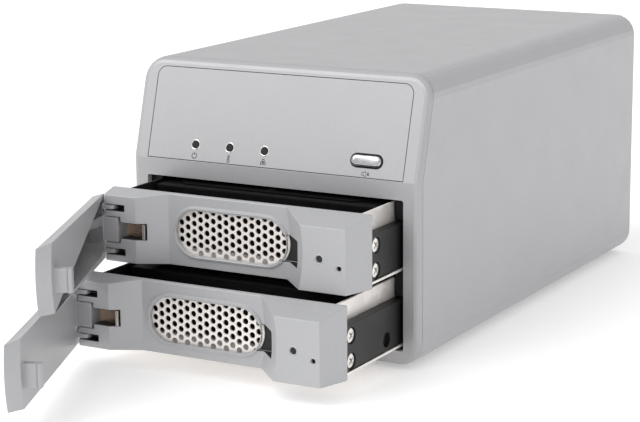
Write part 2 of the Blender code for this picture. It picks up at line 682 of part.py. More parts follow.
# ---------------------------------------------------------------- bays
def make_bay_cage():
    """A black box open at both ends, with ledges that the trays' rails run between."""
    base = BASE + FIRST_TRAY_HEIGHT
    floor = base + FLOOR_BOTTOM - SLIDING_GAP
    ceiling = base + BAY_PITCH + BEZEL_HEIGHT + CONTACT_GAP
    ledge = FRAME_WIDTH / 2 + SLIDING_GAP
    shelf_low = base + RAIL_TOP + SLIDING_GAP
    shelf_high = base + BAY_PITCH + FLOOR_BOTTOM - CONTACT_GAP
    hood = base + BAY_PITCH + RAIL_TOP + SLIDING_GAP
    side = [(CAGE_HALF, floor), (CAGE_HALF, shelf_low), (ledge, shelf_low), (ledge, shelf_high),
            (CAGE_HALF, shelf_high), (CAGE_HALF, hood), (ledge, hood), (ledge, ceiling)]
    inside = side + [(-x, z) for x, z in reversed(side)]
    outside = rectangle((-CAGE_HALF - CAGE_WALL, floor - CAGE_WALL),
                        (CAGE_HALF + CAGE_WALL, ceiling + CAGE_WALL))
    outline("bay_cage", [outside, inside], "XZ", CAGE_START, CAGE_END, BLACK_STEEL)


def make_backplane():
    start = TRAY_DOCKED_END + SOCKET_DEPTH + 2 * CONTACT_GAP
    end = start - CONTACT_GAP
    half = CAGE_HALF - BACKPLANE_SIDE_GAP
    box("backplane_board", (-half, start, BASE + OPENING_BOTTOM - BACKPLANE_BELOW),
        (half, start + BOARD_THICKNESS, BASE + OPENING_TOP + BACKPLANE_ABOVE), BOARD_GREEN)
    left, right = SOCKET_X - SOCKET_WIDTH / 2, SOCKET_X + SOCKET_WIDTH / 2
    for name, index in (("lower_drive_socket", 0), ("upper_drive_socket", 1)):
        z = BASE + FIRST_TRAY_HEIGHT + index * BAY_PITCH + DRIVE_BASE
        socket = box(name, (left, end - SOCKET_DEPTH, z + SOCKET_LOW), (right, end, z + SOCKET_HIGH),
                     BLACK_PLASTIC)
        cut(socket, box("socket_slot", (left + SOCKET_WALL, 0.0, z + SOCKET_SLOT_LOW),
                        (right - SOCKET_WALL, start - SOCKET_BACK, z + SOCKET_SLOT_HIGH)))


# ---------------------------------------------------------------- tray bezel
def bulge_points(edge, low, high, steps=8):
    """An edge that bows to +X between two heights."""
    points = []
    for step in range(steps + 1):
        share = step / steps
        points.append((edge + LAND_BULGE * (1.0 - (2.0 * share - 1.0) ** 2),
                       low + (high - low) * share))
    return points


def lever_space(name, parent):
    """The room the lever folds into: an arched ramp on the right, a slanted face on the left."""
    front = -CUT
    back = GRILLE_FACE_DEPTH
    slope = (GRILLE_FACE_START - HINGE_FACE_END) / (GRILLE_FACE_DEPTH - HINGE_FACE_DEPTH)
    left_front = GRILLE_FACE_START - slope * (back - front)
    right_front = LAND_EDGE - front
    loop = [(left_front, -CUT)] + bulge_points(right_front, -CUT, BEZEL_HEIGHT + CUT)
    loop.append((left_front, BEZEL_HEIGHT + CUT))
    bm = outline_mesh([loop], "XZ", front, back)
    middle = (left_front + right_front) / 2
    for vert in bm.verts:
        if vert.co.y > (front + back) / 2:
            vert.co.x += slope * (back - front) if vert.co.x < middle else front - back
    return store(name, bm, None, parent)


def bevel_wedge(name, parent, left, right, edge_y):
    """A block whose lower face is the bezel's sloping top; edge_y is where the front face lies."""
    bm = box_mesh((left, -CUT, 0.0), (right, 2 * BEZEL_DEPTH, BEZEL_HEIGHT))
    bmesh.ops.rotate(bm, cent=(0.0, 0.0, 0.0), matrix=Matrix.Rotation(BEVEL_ANGLE, 3, "X"),
                     verts=bm.verts)
    bmesh.ops.translate(bm, vec=(0.0, edge_y, BEZEL_EDGE_HEIGHT), verts=bm.verts)
    return store(name, bm, None, parent)


def hinge_pockets(tray):
    """The middle pocket, its window and the two slots that the lever's arms reach into."""
    left = -BEZEL_HALF - CUT
    front = -CUT
    knuckle = KNUCKLE_TALL / 2 + CONTACT_GAP
    made = [box("knuckle_pocket", (left, front, HINGE_HEIGHT - knuckle),
                (PIVOT_X + KNUCKLE_POCKET_REACH, PIVOT_DEPTH + KNUCKLE_POCKET_DEPTH,
                 HINGE_HEIGHT + knuckle), parent=tray),
            box("spring_window", (PIVOT_X, front, HINGE_HEIGHT - SPRING_TALL / 2 - CONTACT_GAP),
                (SPRING_END + CONTACT_GAP, PIVOT_DEPTH + WINDOW_DEPTH,
                 HINGE_HEIGHT + SPRING_TALL / 2 + CONTACT_GAP), parent=tray)]
    arm = ARM_TALL / 2 + CONTACT_GAP
    for offset in (-ARM_OFFSET, ARM_OFFSET):
        made.append(box("arm_slot", (left, front, HINGE_HEIGHT + offset - arm),
                        (SLOT_END, PIVOT_DEPTH + ARM_SLOT_DEPTH, HINGE_HEIGHT + offset + arm),
                        parent=tray))
    return made


def grille_outline(margin):
    return capsule(GRILLE_X, GRILLE_HEIGHT, GRILLE_LENGTH + 2 * margin, GRILLE_TALL + 2 * margin, 12)


def make_bezel(prefix, tray):
    half = BEZEL_HALF
    plan = [(-half, 0.0), (half - SIDE_CHAMFER_WIDTH, 0.0), (half, SIDE_CHAMFER_DEPTH),
            (half, BEZEL_DEPTH), (-half, BEZEL_DEPTH)]
    bezel = outline(prefix + "tray_bezel", [plan], "XY", 0.0, BEZEL_HEIGHT, TRAY_SILVER, tray)
    cut(bezel, lever_space("lever_space", tray))
    cut(bezel, box("hinge_face_space", (-half - CUT, -CUT, -CUT),
                   (HINGE_FACE_END + CUT, HINGE_FACE_DEPTH, BEZEL_HEIGHT + CUT), parent=tray))
    cut(bezel, bevel_wedge("top_bevel", tray, -half - CUT, half + CUT, 0.0))
    join(bezel, outline("grille_rim", [grille_outline(GRILLE_RIM_WIDTH)], "XZ",
                        GRILLE_FACE_DEPTH - GRILLE_RIM_PROUD, GRILLE_FACE_DEPTH + CONTACT_GAP,
                        parent=tray))
    cut(bezel, outline("grille_opening", [grille_outline(0.0)], "XZ", 0.0,
                       BEZEL_DEPTH + CUT, parent=tray))
    cut(bezel, outline("grille_seat", [grille_outline(GRILLE_LAP + CONTACT_GAP)], "XZ",
                       GRILLE_SEAT, BEZEL_DEPTH + CUT, parent=tray))
    corner = CORNER_RELIEF
    relief = [(-half - CUT, -CUT), (-half + corner + CUT + HINGE_FACE_DEPTH, -CUT),
              (-half + corner, HINGE_FACE_DEPTH), (-half, HINGE_FACE_DEPTH + corner),
              (-half - CUT, HINGE_FACE_DEPTH + corner + CUT)]
    cut(bezel, outline("corner_relief", [relief], "XY", -CUT, BEZEL_HEIGHT + CUT, parent=tray))
    cut(bezel, *hinge_pockets(tray))
    cut(bezel, rod("pin_bore", PIN_RADIUS + CONTACT_GAP, (PIVOT_X, PIVOT_DEPTH, -CUT),
                   (PIVOT_X, PIVOT_DEPTH, PIN_LENGTH + 2 * CONTACT_GAP), parent=tray, sides=12))
    cut(bezel, box("latch_slot", (LAND_EDGE - LATCH_SLOT_INNER, LATCH_SLOT_START,
                                  LATCH_HEIGHT - LATCH_TALL / 2 - SLIDING_GAP),
                   (LAND_EDGE - LATCH_SLOT_OUTER, BEZEL_DEPTH - LATCH_SLOT_WALL,
                    LATCH_HEIGHT + LATCH_TALL / 2 + SLIDING_GAP), parent=tray))
    cut(bezel, box("land_pocket", (LAND_EDGE + LAND_POCKET_MARGIN, LAND_WALL, LAND_POCKET_BOTTOM),
                   (half - LAND_POCKET_MARGIN, BEZEL_DEPTH + CUT,
                    BEZEL_EDGE_HEIGHT - LAND_POCKET_TOP_MARGIN), parent=tray))
    for name, x, z, radius in (("lamp_hole", LAMP_X, LAMP_HEIGHT, LAMP_RADIUS + CONTACT_GAP),
                               ("lock_hole", LOCK_X, LOCK_HEIGHT, LOCK_RADIUS)):
        cut(bezel, rod(name, radius, (x, -CUT, z), (x, LAND_WALL + CUT, z), parent=tray))


def make_grille(prefix, tray):
    """Round holes in staggered columns on a long plate with round ends."""
    margin = HOLE_RADIUS + HOLE_MARGIN
    reach = (GRILLE_LENGTH - GRILLE_TALL) / 2
    limit = GRILLE_TALL / 2 + GRILLE_LAP - margin
    column_step = HOLE_PITCH * math.sqrt(3.0) / 2
    columns = int((reach + limit) / column_step)
    holes = []
    for column in range(-columns, columns + 1):
        x = column * column_step
        shift = 0.5 if column % 2 else 0.0
        rows = int(limit / HOLE_PITCH) + 1
        for row in range(-rows, rows + 1):
            z = (row + shift) * HOLE_PITCH
            past = max(0.0, abs(x) - reach)
            if math.hypot(past, z) <= limit:
                holes.append(circle((GRILLE_X + x, GRILLE_HEIGHT + z), HOLE_RADIUS, HOLE_SIDES))
    start = GRILLE_SEAT + CONTACT_GAP
    outline(prefix + "grille", [grille_outline(GRILLE_LAP), *holes], "XZ", start,
            start + GRILLE_THICKNESS, PLATED_GRILLE, tray)


# ---------------------------------------------------------------- lever
def make_lever(prefix, hinge):
    """Modelled folded shut, about its pin; the hinge empty turns it open."""
    outer = -PIVOT_DEPTH
    inner = outer + LEVER_THICKNESS
    left = -BEZEL_HALF - PIVOT_X
    tip = LEVER_TIP
    loop = [(left, 0.0)] + bulge_points(tip, 0.0, BEZEL_HEIGHT) + [(left, BEZEL_HEIGHT)]
    bm = outline_mesh([loop], "XZ", outer, inner)
    for vert in bm.verts:
        if vert.co.y > (outer + inner) / 2 and vert.co.x > tip / 2:
            vert.co.x -= LEVER_THICKNESS
    lever = store(prefix + "lever", bm, TRAY_SILVER, hinge)
    cut(lever, bevel_wedge("lever_bevel", hinge, left - CUT, tip + LAND_BULGE + CUT, outer))
    root = inner - ROOT_SET_IN
    barrel = BARREL_RADIUS
    knuckle = [(-ARM_BACK, root), (barrel / 2, root), (1.75 * barrel, 1.25 * barrel),
               (0.83 * barrel, 1.58 * barrel), (-barrel / 3, barrel),
               (-0.83 * barrel, 0.58 * barrel), (-barrel, -barrel / 3)]
    join(lever, outline("knuckle", [knuckle], "XY", HINGE_HEIGHT - KNUCKLE_TALL / 2,
                        HINGE_HEIGHT + KNUCKLE_TALL / 2, parent=hinge))
    arm = [(-ARM_BACK, root), (ARM_FRONT, root)] + arc((0.0, 0.0), BARREL_RADIUS, -20.0, 200.0, 8)
    for offset in (-ARM_OFFSET, ARM_OFFSET):
        low = HINGE_HEIGHT + offset - ARM_TALL / 2
        join(lever, outline("hinge_arm", [arm], "XY", low, low + ARM_TALL, parent=hinge))
    outside = tip - LEVER_THICKNESS - LATCH_SET_BACK
    latch = [(outside - LATCH_THICKNESS, root), (outside, root), (outside, inner + LATCH_BARB_START),
             (outside + 2 * LATCH_SET_BACK, inner + LATCH_BARB_TIP), (outside, inner + LATCH_REACH),
             (outside - LATCH_THICKNESS, inner + LATCH_REACH)]
    join(lever, outline("latch", [latch], "XY", LATCH_HEIGHT - LATCH_TALL / 2,
                        LATCH_HEIGHT + LATCH_TALL / 2, parent=hinge))
    cut(lever, rod("lever_bore", PIN_RADIUS + CONTACT_GAP, (0.0, 0.0, 0.0),
                   (0.0, 0.0, BEZEL_HEIGHT), parent=hinge, sides=12))


def make_hinge_hardware(prefix, tray):
    rod(prefix + "lever_pin", PIN_RADIUS, (PIVOT_X, PIVOT_DEPTH, CONTACT_GAP),
        (PIVOT_X, PIVOT_DEPTH, PIN_LENGTH), BRIGHT_NICKEL, tray, sides=12)
    start_x = PIVOT_X + SPRING_FROM_PIVOT
    bow = []
    steps = 6
    for step in range(steps + 1):
        share = step / steps
        bow.append((start_x + (SPRING_END - start_x) * share,
                    PIVOT_DEPTH + SPRING_BOW_START - SPRING_BOW * share ** 3))
    strip = bow + [(x, y + SPRING_THICKNESS) for x, y in reversed(bow)]
    outline(prefix + "leaf_spring", [strip], "XY", HINGE_HEIGHT - SPRING_TALL / 2,
            HINGE_HEIGHT + SPRING_TALL / 2, BRONZE, tray)


# ---------------------------------------------------------------- tray frame and drive
def make_tray_frame(prefix, tray):
    """Bent sheet: a floor with hemmed lips, two sides, and a front wall with a window."""
    half = FRAME_WIDTH / 2
    low = FLOOR_BOTTOM
    section = [(-RAIL_OUTER, low), (RAIL_OUTER, low), (RAIL_OUTER, low + SHEET),
               (half, low + SHEET), (half, FRAME_SIDE_TOP), (half - SHEET, FRAME_SIDE_TOP),
               (half - SHEET, low + SHEET), (SHEET - half, low + SHEET),
               (SHEET - half, FRAME_SIDE_TOP), (-half, FRAME_SIDE_TOP),
               (-half, low + SHEET), (-RAIL_OUTER, low + SHEET)]
    frame = outline(prefix + "tray_frame", [section], "XZ", FRAME_START, FRAME_END,
                    ZINC_SHEET, tray)
    window = GRILLE_TALL / 2 + WINDOW_TALL_MARGIN
    front = outline("front_wall",
                    [rectangle((-half + SHEET / 2, low + SHEET / 2),
                               (half - SHEET / 2, FRAME_SIDE_TOP - FRONT_WALL_MARGIN)),
                     rounded((GRILLE_LEFT - WINDOW_MARGIN, GRILLE_HEIGHT - window),
                             (GRILLE_RIGHT + WINDOW_MARGIN, GRILLE_HEIGHT + window), 0.003)],
                    "XZ", FRAME_START, FRAME_START + SHEET, parent=tray)
    join(frame, front)
    cut(frame, rod("lamp_passage", LAMP_RADIUS + CONTACT_GAP, (LAMP_X, 0.0, LAMP_HEIGHT),
                   (LAMP_X, FRAME_START + 2 * SHEET, LAMP_HEIGHT), parent=tray, sides=12))
    for height in SCREW_HEIGHTS:
        cut(frame, rod("frame_screw_hole", SCREW_SHANK_RADIUS + CONTACT_GAP,
                       (-RAIL_OUTER - CUT, SCREW_DEPTH, height),
                       (RAIL_OUTER + CUT, SCREW_DEPTH, height), parent=tray, sides=12))


def make_rails(prefix, tray):
    for side_name, side in (("left_", -1), ("right_", 1)):
        inner, outer = sorted((side * RAIL_INNER, side * RAIL_OUTER))
        rail = box(prefix + side_name + "rail", (inner, FRAME_START + CONTACT_GAP, RAIL_BOTTOM),
                   (outer, RAIL_END, RAIL_TOP), RAIL_BLACK, tray)
        head_floor = side * (RAIL_OUTER - SCREW_HEAD_THICKNESS - 2 * CONTACT_GAP)
        outside = side * (RAIL_OUTER + CUT)
        inside = side * (RAIL_INNER - CUT)
        for height in SCREW_HEIGHTS:
            cut(rail, rod("head_seat", SCREW_HEAD_RADIUS + CONTACT_GAP,
                          (head_floor, SCREW_DEPTH, height), (outside, SCREW_DEPTH, height),
                          parent=tray))
            cut(rail, rod("shank_hole", SCREW_SHANK_RADIUS + CONTACT_GAP,
                          (inside, SCREW_DEPTH, height), (outside, SCREW_DEPTH, height),
                          parent=tray, sides=12))
        for from_rear in DRIVE_HOLES_FROM_REAR:
            y = DRIVE_END - from_rear
            cut(rail, rod("drive_screw_seat", SCREW_HEAD_RADIUS,
                          (side * (RAIL_OUTER - DRIVE_SEAT_DEPTH), y, DRIVE_HOLE_HEIGHT),
                          (outside, y, DRIVE_HOLE_HEIGHT), parent=tray))


def make_rail_screws(prefix, tray):
    for name, height in zip(("rail_screw_low", "rail_screw_high"), SCREW_HEIGHTS):
        head_back = RAIL_OUTER - SCREW_HEAD_THICKNESS - CONTACT_GAP
        screw = rod(prefix + name, SCREW_HEAD_RADIUS, (head_back, SCREW_DEPTH, height),
                    (RAIL_OUTER - CONTACT_GAP, SCREW_DEPTH, height), BRIGHT_NICKEL, tray)
        join(screw, rod("shank", SCREW_SHANK_RADIUS, (FRAME_WIDTH / 2 - SHEET, SCREW_DEPTH, height),
                        (head_back + SCREW_HEAD_THICKNESS / 2, SCREW_DEPTH, height),
                        parent=tray, sides=12))


def make_drive(prefix, tray):
    half = DRIVE_WIDTH / 2
    board_top = DRIVE_BASE + BOARD_THICKNESS
    bm = box_mesh((-half, DRIVE_START, board_top + CONTACT_GAP),
                  (half, DRIVE_END, DRIVE_BASE + DRIVE_TALL))
    bmesh.ops.bevel(bm, geom=bm.edges[:], offset=DRIVE_EDGE, segments=1, affect="EDGES")
    store(prefix + "hard_drive", bm, DRIVE_CASE, tray)
    box(prefix + "drive_board", (DRIVE_BOARD_MARGIN - half, DRIVE_START + DRIVE_BOARD_START, DRIVE_BASE),
        (half - DRIVE_BOARD_MARGIN, DRIVE_END - DRIVE_EDGE, board_top), BOARD_GREEN, tray)


def make_light_pipe(prefix, tray):
    rod(prefix + "light_pipe", LAMP_RADIUS, (LAMP_X, LIGHT_PIPE_START, LAMP_HEIGHT),
        (LAMP_X, FRAME_START + LIGHT_PIPE_PAST, LAMP_HEIGHT), LENS, tray, sides=12)


def make_tray(prefix, index, pulled_out):
    tray = pivot(prefix + "tray_origin", (0.0, -TRAY_CLOSED_PROUD - pulled_out,
                                          BASE + FIRST_TRAY_HEIGHT + index * BAY_PITCH))
    hinge = pivot(prefix + "lever_hinge", (PIVOT_X, PIVOT_DEPTH, 0.0),
                  (0.0, 0.0, -LEVER_OPEN_ANGLE), tray)
    make_bezel(prefix, tray)
    make_grille(prefix, tray)
    make_lever(prefix, hinge)
    make_hinge_hardware(prefix, tray)
    make_tray_frame(prefix, tray)
    make_rails(prefix, tray)
    make_rail_screws(prefix, tray)
    make_drive(prefix, tray)
    make_light_pipe(prefix, tray)


# ---------------------------------------------------------------- rear and electronics
def make_rear_panel():
    inner = HALF_WIDTH - SHELL_WALL - CONTACT_GAP
    low, high = (-inner, BASE + SHELL_WALL + CONTACT_GAP), (inner, TOP - SHELL_WALL - CONTACT_GAP)
    radius = CORNER_RADIUS - SHELL_WALL
    gap = CONTACT_GAP
    loops = [
        rounded(low, high, radius, 6),
        circle((FAN_X, BASE + FAN_HEIGHT), FAN_BORE / 2, 32),
        rectangle(*centred(INLET_X, BASE + INLET_HEIGHT, INLET_WIDTH + 2 * gap, INLET_TALL + 2 * gap)),
        rectangle(*centred(SWITCH_X, BASE + INLET_HEIGHT, SWITCH_WIDTH + 2 * gap, SWITCH_TALL + 2 * gap)),
        rectangle(*centred(JACK_X, PORT_BASE + JACK_TALL / 2,
                           JACK_WIDTH + 2 * gap, JACK_TALL + 2 * gap)),
        rectangle(*centred(USB_X, PORT_BASE + USB_TALL / 2,
                           USB_WIDTH + 2 * gap, USB_TALL + 2 * gap)),
    ]
    for side in (-1, 1):
        for height in SCREW_POST_HEIGHTS:
            loops.append(circle((side * POST_SCREW_X, height), SCREW_SHANK_RADIUS + gap, 12))
    outline("rear_panel", loops, "XZ", PANEL_FRONT, PANEL_BACK, STEEL)


def make_rear_screws():
    names = iter(("lower_left", "upper_left", "lower_right", "upper_right"))
    for side in (-1, 1):
        for height in SCREW_POST_HEIGHTS:
            x = side * POST_SCREW_X
            start = PANEL_BACK + CONTACT_GAP
            screw = rod(next(names) + "_rear_screw", SCREW_HEAD_RADIUS, (x, start, height),
                        (x, start + SCREW_HEAD_THICKNESS, height), BRIGHT_NICKEL,
                        end_radius=SCREW_HEAD_RADIUS * 0.7)
            join(screw, rod("shank", SCREW_SHANK_RADIUS, (x, PANEL_FRONT - REAR_SCREW_REACH, height),
                            (x, start + SCREW_HEAD_THICKNESS / 2, height), sides=12))


def make_fan():
    centre = (FAN_X, BASE + FAN_HEIGHT)
    back = PANEL_FRONT - CONTACT_GAP
    front = back - FAN_THICKNESS
    low, high = centred(*centre, FAN_SIZE, FAN_SIZE)
    frame = outline("fan_frame", [rounded(low, high, 0.003, 3), circle(centre, FAN_BORE / 2, 32)],
                    "XZ", front, back, BLACK_PLASTIC)
    reach = FAN_BORE / 2 + CONTACT_GAP
    hub = outline_mesh([circle(centre, FAN_HUB_RADIUS, 24)], "XZ", back - HUB_PLATE, back)
    spider = store("fan_spider", hub, None)
    for angle in (45.0, 135.0):
        bm = box_mesh((-reach, back - STRUT_SET_IN - STRUT_THICKNESS, -STRUT_HALF_WIDTH),
                      (reach, back - STRUT_SET_IN, STRUT_HALF_WIDTH))
        bmesh.ops.rotate(bm, cent=(0.0, 0.0, 0.0), verts=bm.verts,
                         matrix=Matrix.Rotation(math.radians(angle), 3, "Y"))
        bmesh.ops.translate(bm, vec=(centre[0], 0.0, centre[1]), verts=bm.verts)
        join(spider, store("fan_strut", bm, None))
    join(frame, spider)
    cut(frame, rod("shaft_bearing", SHAFT_RADIUS + CONTACT_GAP,
                   (centre[0], back - BEARING_DEPTH, centre[1]),
                   (centre[0], back + CUT, centre[1]), sides=12))

    axle = pivot("fan_axle", (centre[0], front, centre[1]))
    hub_end = FAN_THICKNESS - HUB_PLATE - 2 * CONTACT_GAP
    rotor = rod("fan_rotor", FAN_HUB_RADIUS, (0.0, SLIDING_GAP, 0.0), (0.0, hub_end, 0.0),
                BLACK_PLASTIC, axle, sides=24)
    join(rotor, rod("fan_shaft", SHAFT_RADIUS, (0.0, hub_end - 0.001, 0.0),
                    (0.0, FAN_THICKNESS - SLIDING_GAP, 0.0), parent=axle, sides=12))
    blade_reach = FAN_BORE / 2 - BLADE_TIP_GAP
    for index in range(FAN_BLADES):
        bm = box_mesh((FAN_HUB_RADIUS - BLADE_TIP_GAP, -BLADE_HALF_THICKNESS, -BLADE_HALF_CHORD),
                      (blade_reach, BLADE_HALF_THICKNESS, BLADE_HALF_CHORD))
        bmesh.ops.rotate(bm, cent=(0.0, 0.0, 0.0), verts=bm.verts,
                         matrix=Matrix.Rotation(BLADE_PITCH, 3, "X"))
        bmesh.ops.translate(bm, vec=(0.0, hub_end / 2, 0.0), verts=bm.verts)
        bmesh.ops.rotate(bm, cent=(0.0, 0.0, 0.0), verts=bm.verts,
                         matrix=Matrix.Rotation(math.tau * index / FAN_BLADES, 3, "Y"))
        join(rotor, store("fan_blade", bm, None, axle))


def ring_sector(centre, inner, outer, start, end, steps=6):
    return arc(centre, outer, start, end, steps) + arc(centre, inner, end, start, steps)


def make_fan_guard():
    """A stamped finger guard: four rings held by four spokes."""
    centre = (FAN_X, BASE + FAN_HEIGHT)
    wire = GUARD_WIRE
    step = (FAN_BORE / 2 - GUARD_INSET - GUARD_INNER) / 3
    radii = [GUARD_INNER + step * index for index in range(4)]
    loops = [circle(centre, radii[-1] + 2 * wire, 32)]
    for inner, outer in zip(radii[:-1], radii[1:]):
        for quarter in range(4):
            middle = 90.0 * quarter + 45.0
            spread = 45.0 - math.degrees(wire / 2 / (inner + wire / 2))
            loops.append(ring_sector(centre, inner + wire / 2, outer - wire / 2,
                                     middle - spread, middle + spread))
    start = PANEL_BACK + CONTACT_GAP
    outline("fan_guard", loops, "XZ", start, start + GUARD_THICKNESS, BRIGHT_NICKEL)


def make_power_inlet():
    low, high = centred(INLET_X, BASE + INLET_HEIGHT, INLET_WIDTH, INLET_TALL)
    mouth = PANEL_BACK + CONTACT_GAP + INLET_LIP
    inlet = box("power_inlet", (low[0], PANEL_FRONT - INLET_DEPTH, low[1]), (high[0], mouth, high[1]),
                BLACK_PLASTIC)
    flange = box("inlet_flange",
                 (low[0] - INLET_FLANGE, PANEL_BACK + CONTACT_GAP, low[1] - INLET_FLANGE),
                 (high[0] + INLET_FLANGE, mouth, high[1] + INLET_FLANGE))
    join(inlet, flange)
    wide = INLET_WIDTH - 2 * INLET_CAVITY_WALL
    tall = INLET_TALL - 2 * INLET_CAVITY_TALL_WALL
    slope = INLET_CAVITY_CORNER
    x, z = INLET_X, BASE + INLET_HEIGHT
    cavity = [(x - wide / 2, z - tall / 2), (x + wide / 2, z - tall / 2),
              (x + wide / 2, z + tall / 2 - slope), (x + wide / 2 - slope, z + tall / 2),
              (x - wide / 2 + slope, z + tall / 2), (x - wide / 2, z + tall / 2 - slope)]
    cut(inlet, outline("inlet_cavity", [cavity], "XZ", mouth - INLET_CAVITY_DEPTH, mouth + CUT))
    for dx, dz in ((-INLET_PIN_SPACING, -INLET_PIN_RISE), (INLET_PIN_SPACING, -INLET_PIN_RISE),
                   (0.0, INLET_PIN_RISE)):
        root = mouth - INLET_CAVITY_DEPTH - INLET_LIP
        join(inlet, box("inlet_pin", (x + dx - INLET_PIN_HALF_WIDTH, root, z + dz - INLET_PIN_HALF_TALL),
                        (x + dx + INLET_PIN_HALF_WIDTH, mouth - INLET_PIN_SETBACK,
                         z + dz + INLET_PIN_HALF_TALL)))


def make_power_switch():
    x, z = SWITCH_X, BASE + INLET_HEIGHT
    low, high = centred(x, z, SWITCH_WIDTH, SWITCH_TALL)
    mouth = PANEL_BACK + CONTACT_GAP + SWITCH_LIP
    body = box("power_switch", (low[0], PANEL_FRONT - SWITCH_DEPTH, low[1]), (high[0], mouth, high[1]),
               BLACK_PLASTIC)
    join(body, box("switch_flange",
                   (low[0] - SWITCH_FLANGE, PANEL_BACK + CONTACT_GAP, low[1] - SWITCH_FLANGE),
                   (high[0] + SWITCH_FLANGE, mouth, high[1] + SWITCH_FLANGE)))
    cut(body, box("switch_well", (low[0] + SWITCH_WALL, mouth - SWITCH_WELL_DEPTH, low[1] + SWITCH_WALL),
                  (high[0] - SWITCH_WALL, mouth + CUT, high[1] - SWITCH_WALL)))
    tilt = pivot("rocker_axle", (x, mouth - ROCKER_AXLE_DEPTH, z), (ROCKER_ANGLE, 0.0, 0.0))
    wide = SWITCH_WIDTH / 2 - SWITCH_WALL - CONTACT_GAP
    tall = SWITCH_TALL / 2 - SWITCH_WALL - 2 * CONTACT_GAP
    box("power_rocker", (-wide, -ROCKER_BACK, -tall), (wide, ROCKER_FACE, tall), BLACK_PLASTIC, tilt)


def make_ports():
    base = PORT_BASE
    face = PANEL_BACK + CONTACT_GAP
    jack_low = (JACK_X - JACK_WIDTH / 2, face - JACK_DEPTH, base)
    jack = box("network_jack", jack_low, (JACK_X + JACK_WIDTH / 2, face, base + JACK_TALL), STEEL)
    cut(jack, box("jack_cavity",
                  (JACK_X - JACK_CAVITY_WIDTH / 2, face - JACK_CAVITY_DEPTH, base + JACK_CAVITY_LOW),
                  (JACK_X + JACK_CAVITY_WIDTH / 2, face + CUT, base + JACK_CAVITY_HIGH)))
    inside = USB_WIDTH / 2 - USB_WALL
    tongue = USB_WIDTH / 2 - USB_TONGUE_SIDE
    usb = box("usb_port", (USB_X - USB_WIDTH / 2, face - USB_DEPTH, base),
              (USB_X + USB_WIDTH / 2, face, base + USB_TALL), STEEL)
    cut(usb, box("usb_cavity", (USB_X - inside, face - USB_CAVITY_DEPTH, base + USB_FLOOR),
                 (USB_X + inside, face + CUT, base + USB_TALL - USB_FLOOR)))
    join(usb, box("usb_tongue", (USB_X - tongue, face - USB_CAVITY_DEPTH - USB_FLOOR, base + USB_TONGUE_LOW),
                  (USB_X + tongue, face - USB_FLOOR, base + USB_TONGUE_HIGH)))


def make_electronics():
    z = BASE + MAIN_BOARD_HEIGHT
    start = PANEL_FRONT - ELECTRONICS_LENGTH
    left = SHELL_WALL + POST_REACH + CONTACT_GAP - HALF_WIDTH
    box("controller_board", (left, start, z),
        (BOARD_RIGHT, PANEL_FRONT - BOARD_END_GAP, z + BOARD_THICKNESS), BOARD_GREEN)
    bm = box_mesh((SUPPLY_LEFT, start, z), (HALF_WIDTH - SUPPLY_SIDE_MARGIN,
                                            PANEL_FRONT - SUPPLY_REAR_GAP, TOP - SUPPLY_TOP_MARGIN))
    bmesh.ops.bevel(bm, geom=bm.edges[:], offset=0.001, segments=1, affect="EDGES")
    store("power_supply", bm, STEEL)


# ---------------------------------------------------------------- build
def build():
    fascia = pivot("fascia_plane", (0.0, 0.0, KINK), (-SLANT, 0.0, 0.0))
    make_outer_shell()
    make_front_mask(fascia)
    make_fascia(fascia)
    make_feet()
    make_bay_cage()
    make_backplane()
    make_tray("upper_", 1, UPPER_TRAY_OUT)
    make_tray("lower_", 0, LOWER_TRAY_OUT)
    make_rear_panel()
    make_rear_screws()
    make_fan()
    make_fan_guard()
    make_power_inlet()
    make_power_switch()
    make_ports()
    make_electronics()


build()
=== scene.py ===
"""Looks of the two-bay desktop network storage unit: materials, fine meshes, studio and camera.

Metres, +Z up, in the frame's own axes: X to the right seen from the front and Y to the rear.
"""

import json
import math

import bmesh
import bpy
from mathutils import Matrix, Vector

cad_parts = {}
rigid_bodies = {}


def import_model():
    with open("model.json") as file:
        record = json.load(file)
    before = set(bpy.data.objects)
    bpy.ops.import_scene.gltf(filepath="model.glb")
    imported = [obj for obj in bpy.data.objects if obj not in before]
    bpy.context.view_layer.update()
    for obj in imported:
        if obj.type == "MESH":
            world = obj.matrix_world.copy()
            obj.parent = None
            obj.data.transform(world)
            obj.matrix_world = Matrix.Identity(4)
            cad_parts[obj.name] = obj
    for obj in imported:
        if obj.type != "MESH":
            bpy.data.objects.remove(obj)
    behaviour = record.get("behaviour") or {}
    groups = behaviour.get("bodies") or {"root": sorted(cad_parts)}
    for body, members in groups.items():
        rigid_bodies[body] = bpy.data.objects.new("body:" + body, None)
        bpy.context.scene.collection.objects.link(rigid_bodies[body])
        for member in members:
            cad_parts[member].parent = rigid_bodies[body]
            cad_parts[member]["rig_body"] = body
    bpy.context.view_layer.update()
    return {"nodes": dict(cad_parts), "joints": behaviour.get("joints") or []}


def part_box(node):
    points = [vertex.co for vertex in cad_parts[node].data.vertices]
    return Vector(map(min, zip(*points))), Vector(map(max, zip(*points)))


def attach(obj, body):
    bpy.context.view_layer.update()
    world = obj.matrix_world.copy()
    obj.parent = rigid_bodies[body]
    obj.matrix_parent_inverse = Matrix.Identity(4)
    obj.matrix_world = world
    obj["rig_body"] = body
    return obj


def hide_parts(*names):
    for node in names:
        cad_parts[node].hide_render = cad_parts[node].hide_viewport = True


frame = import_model()

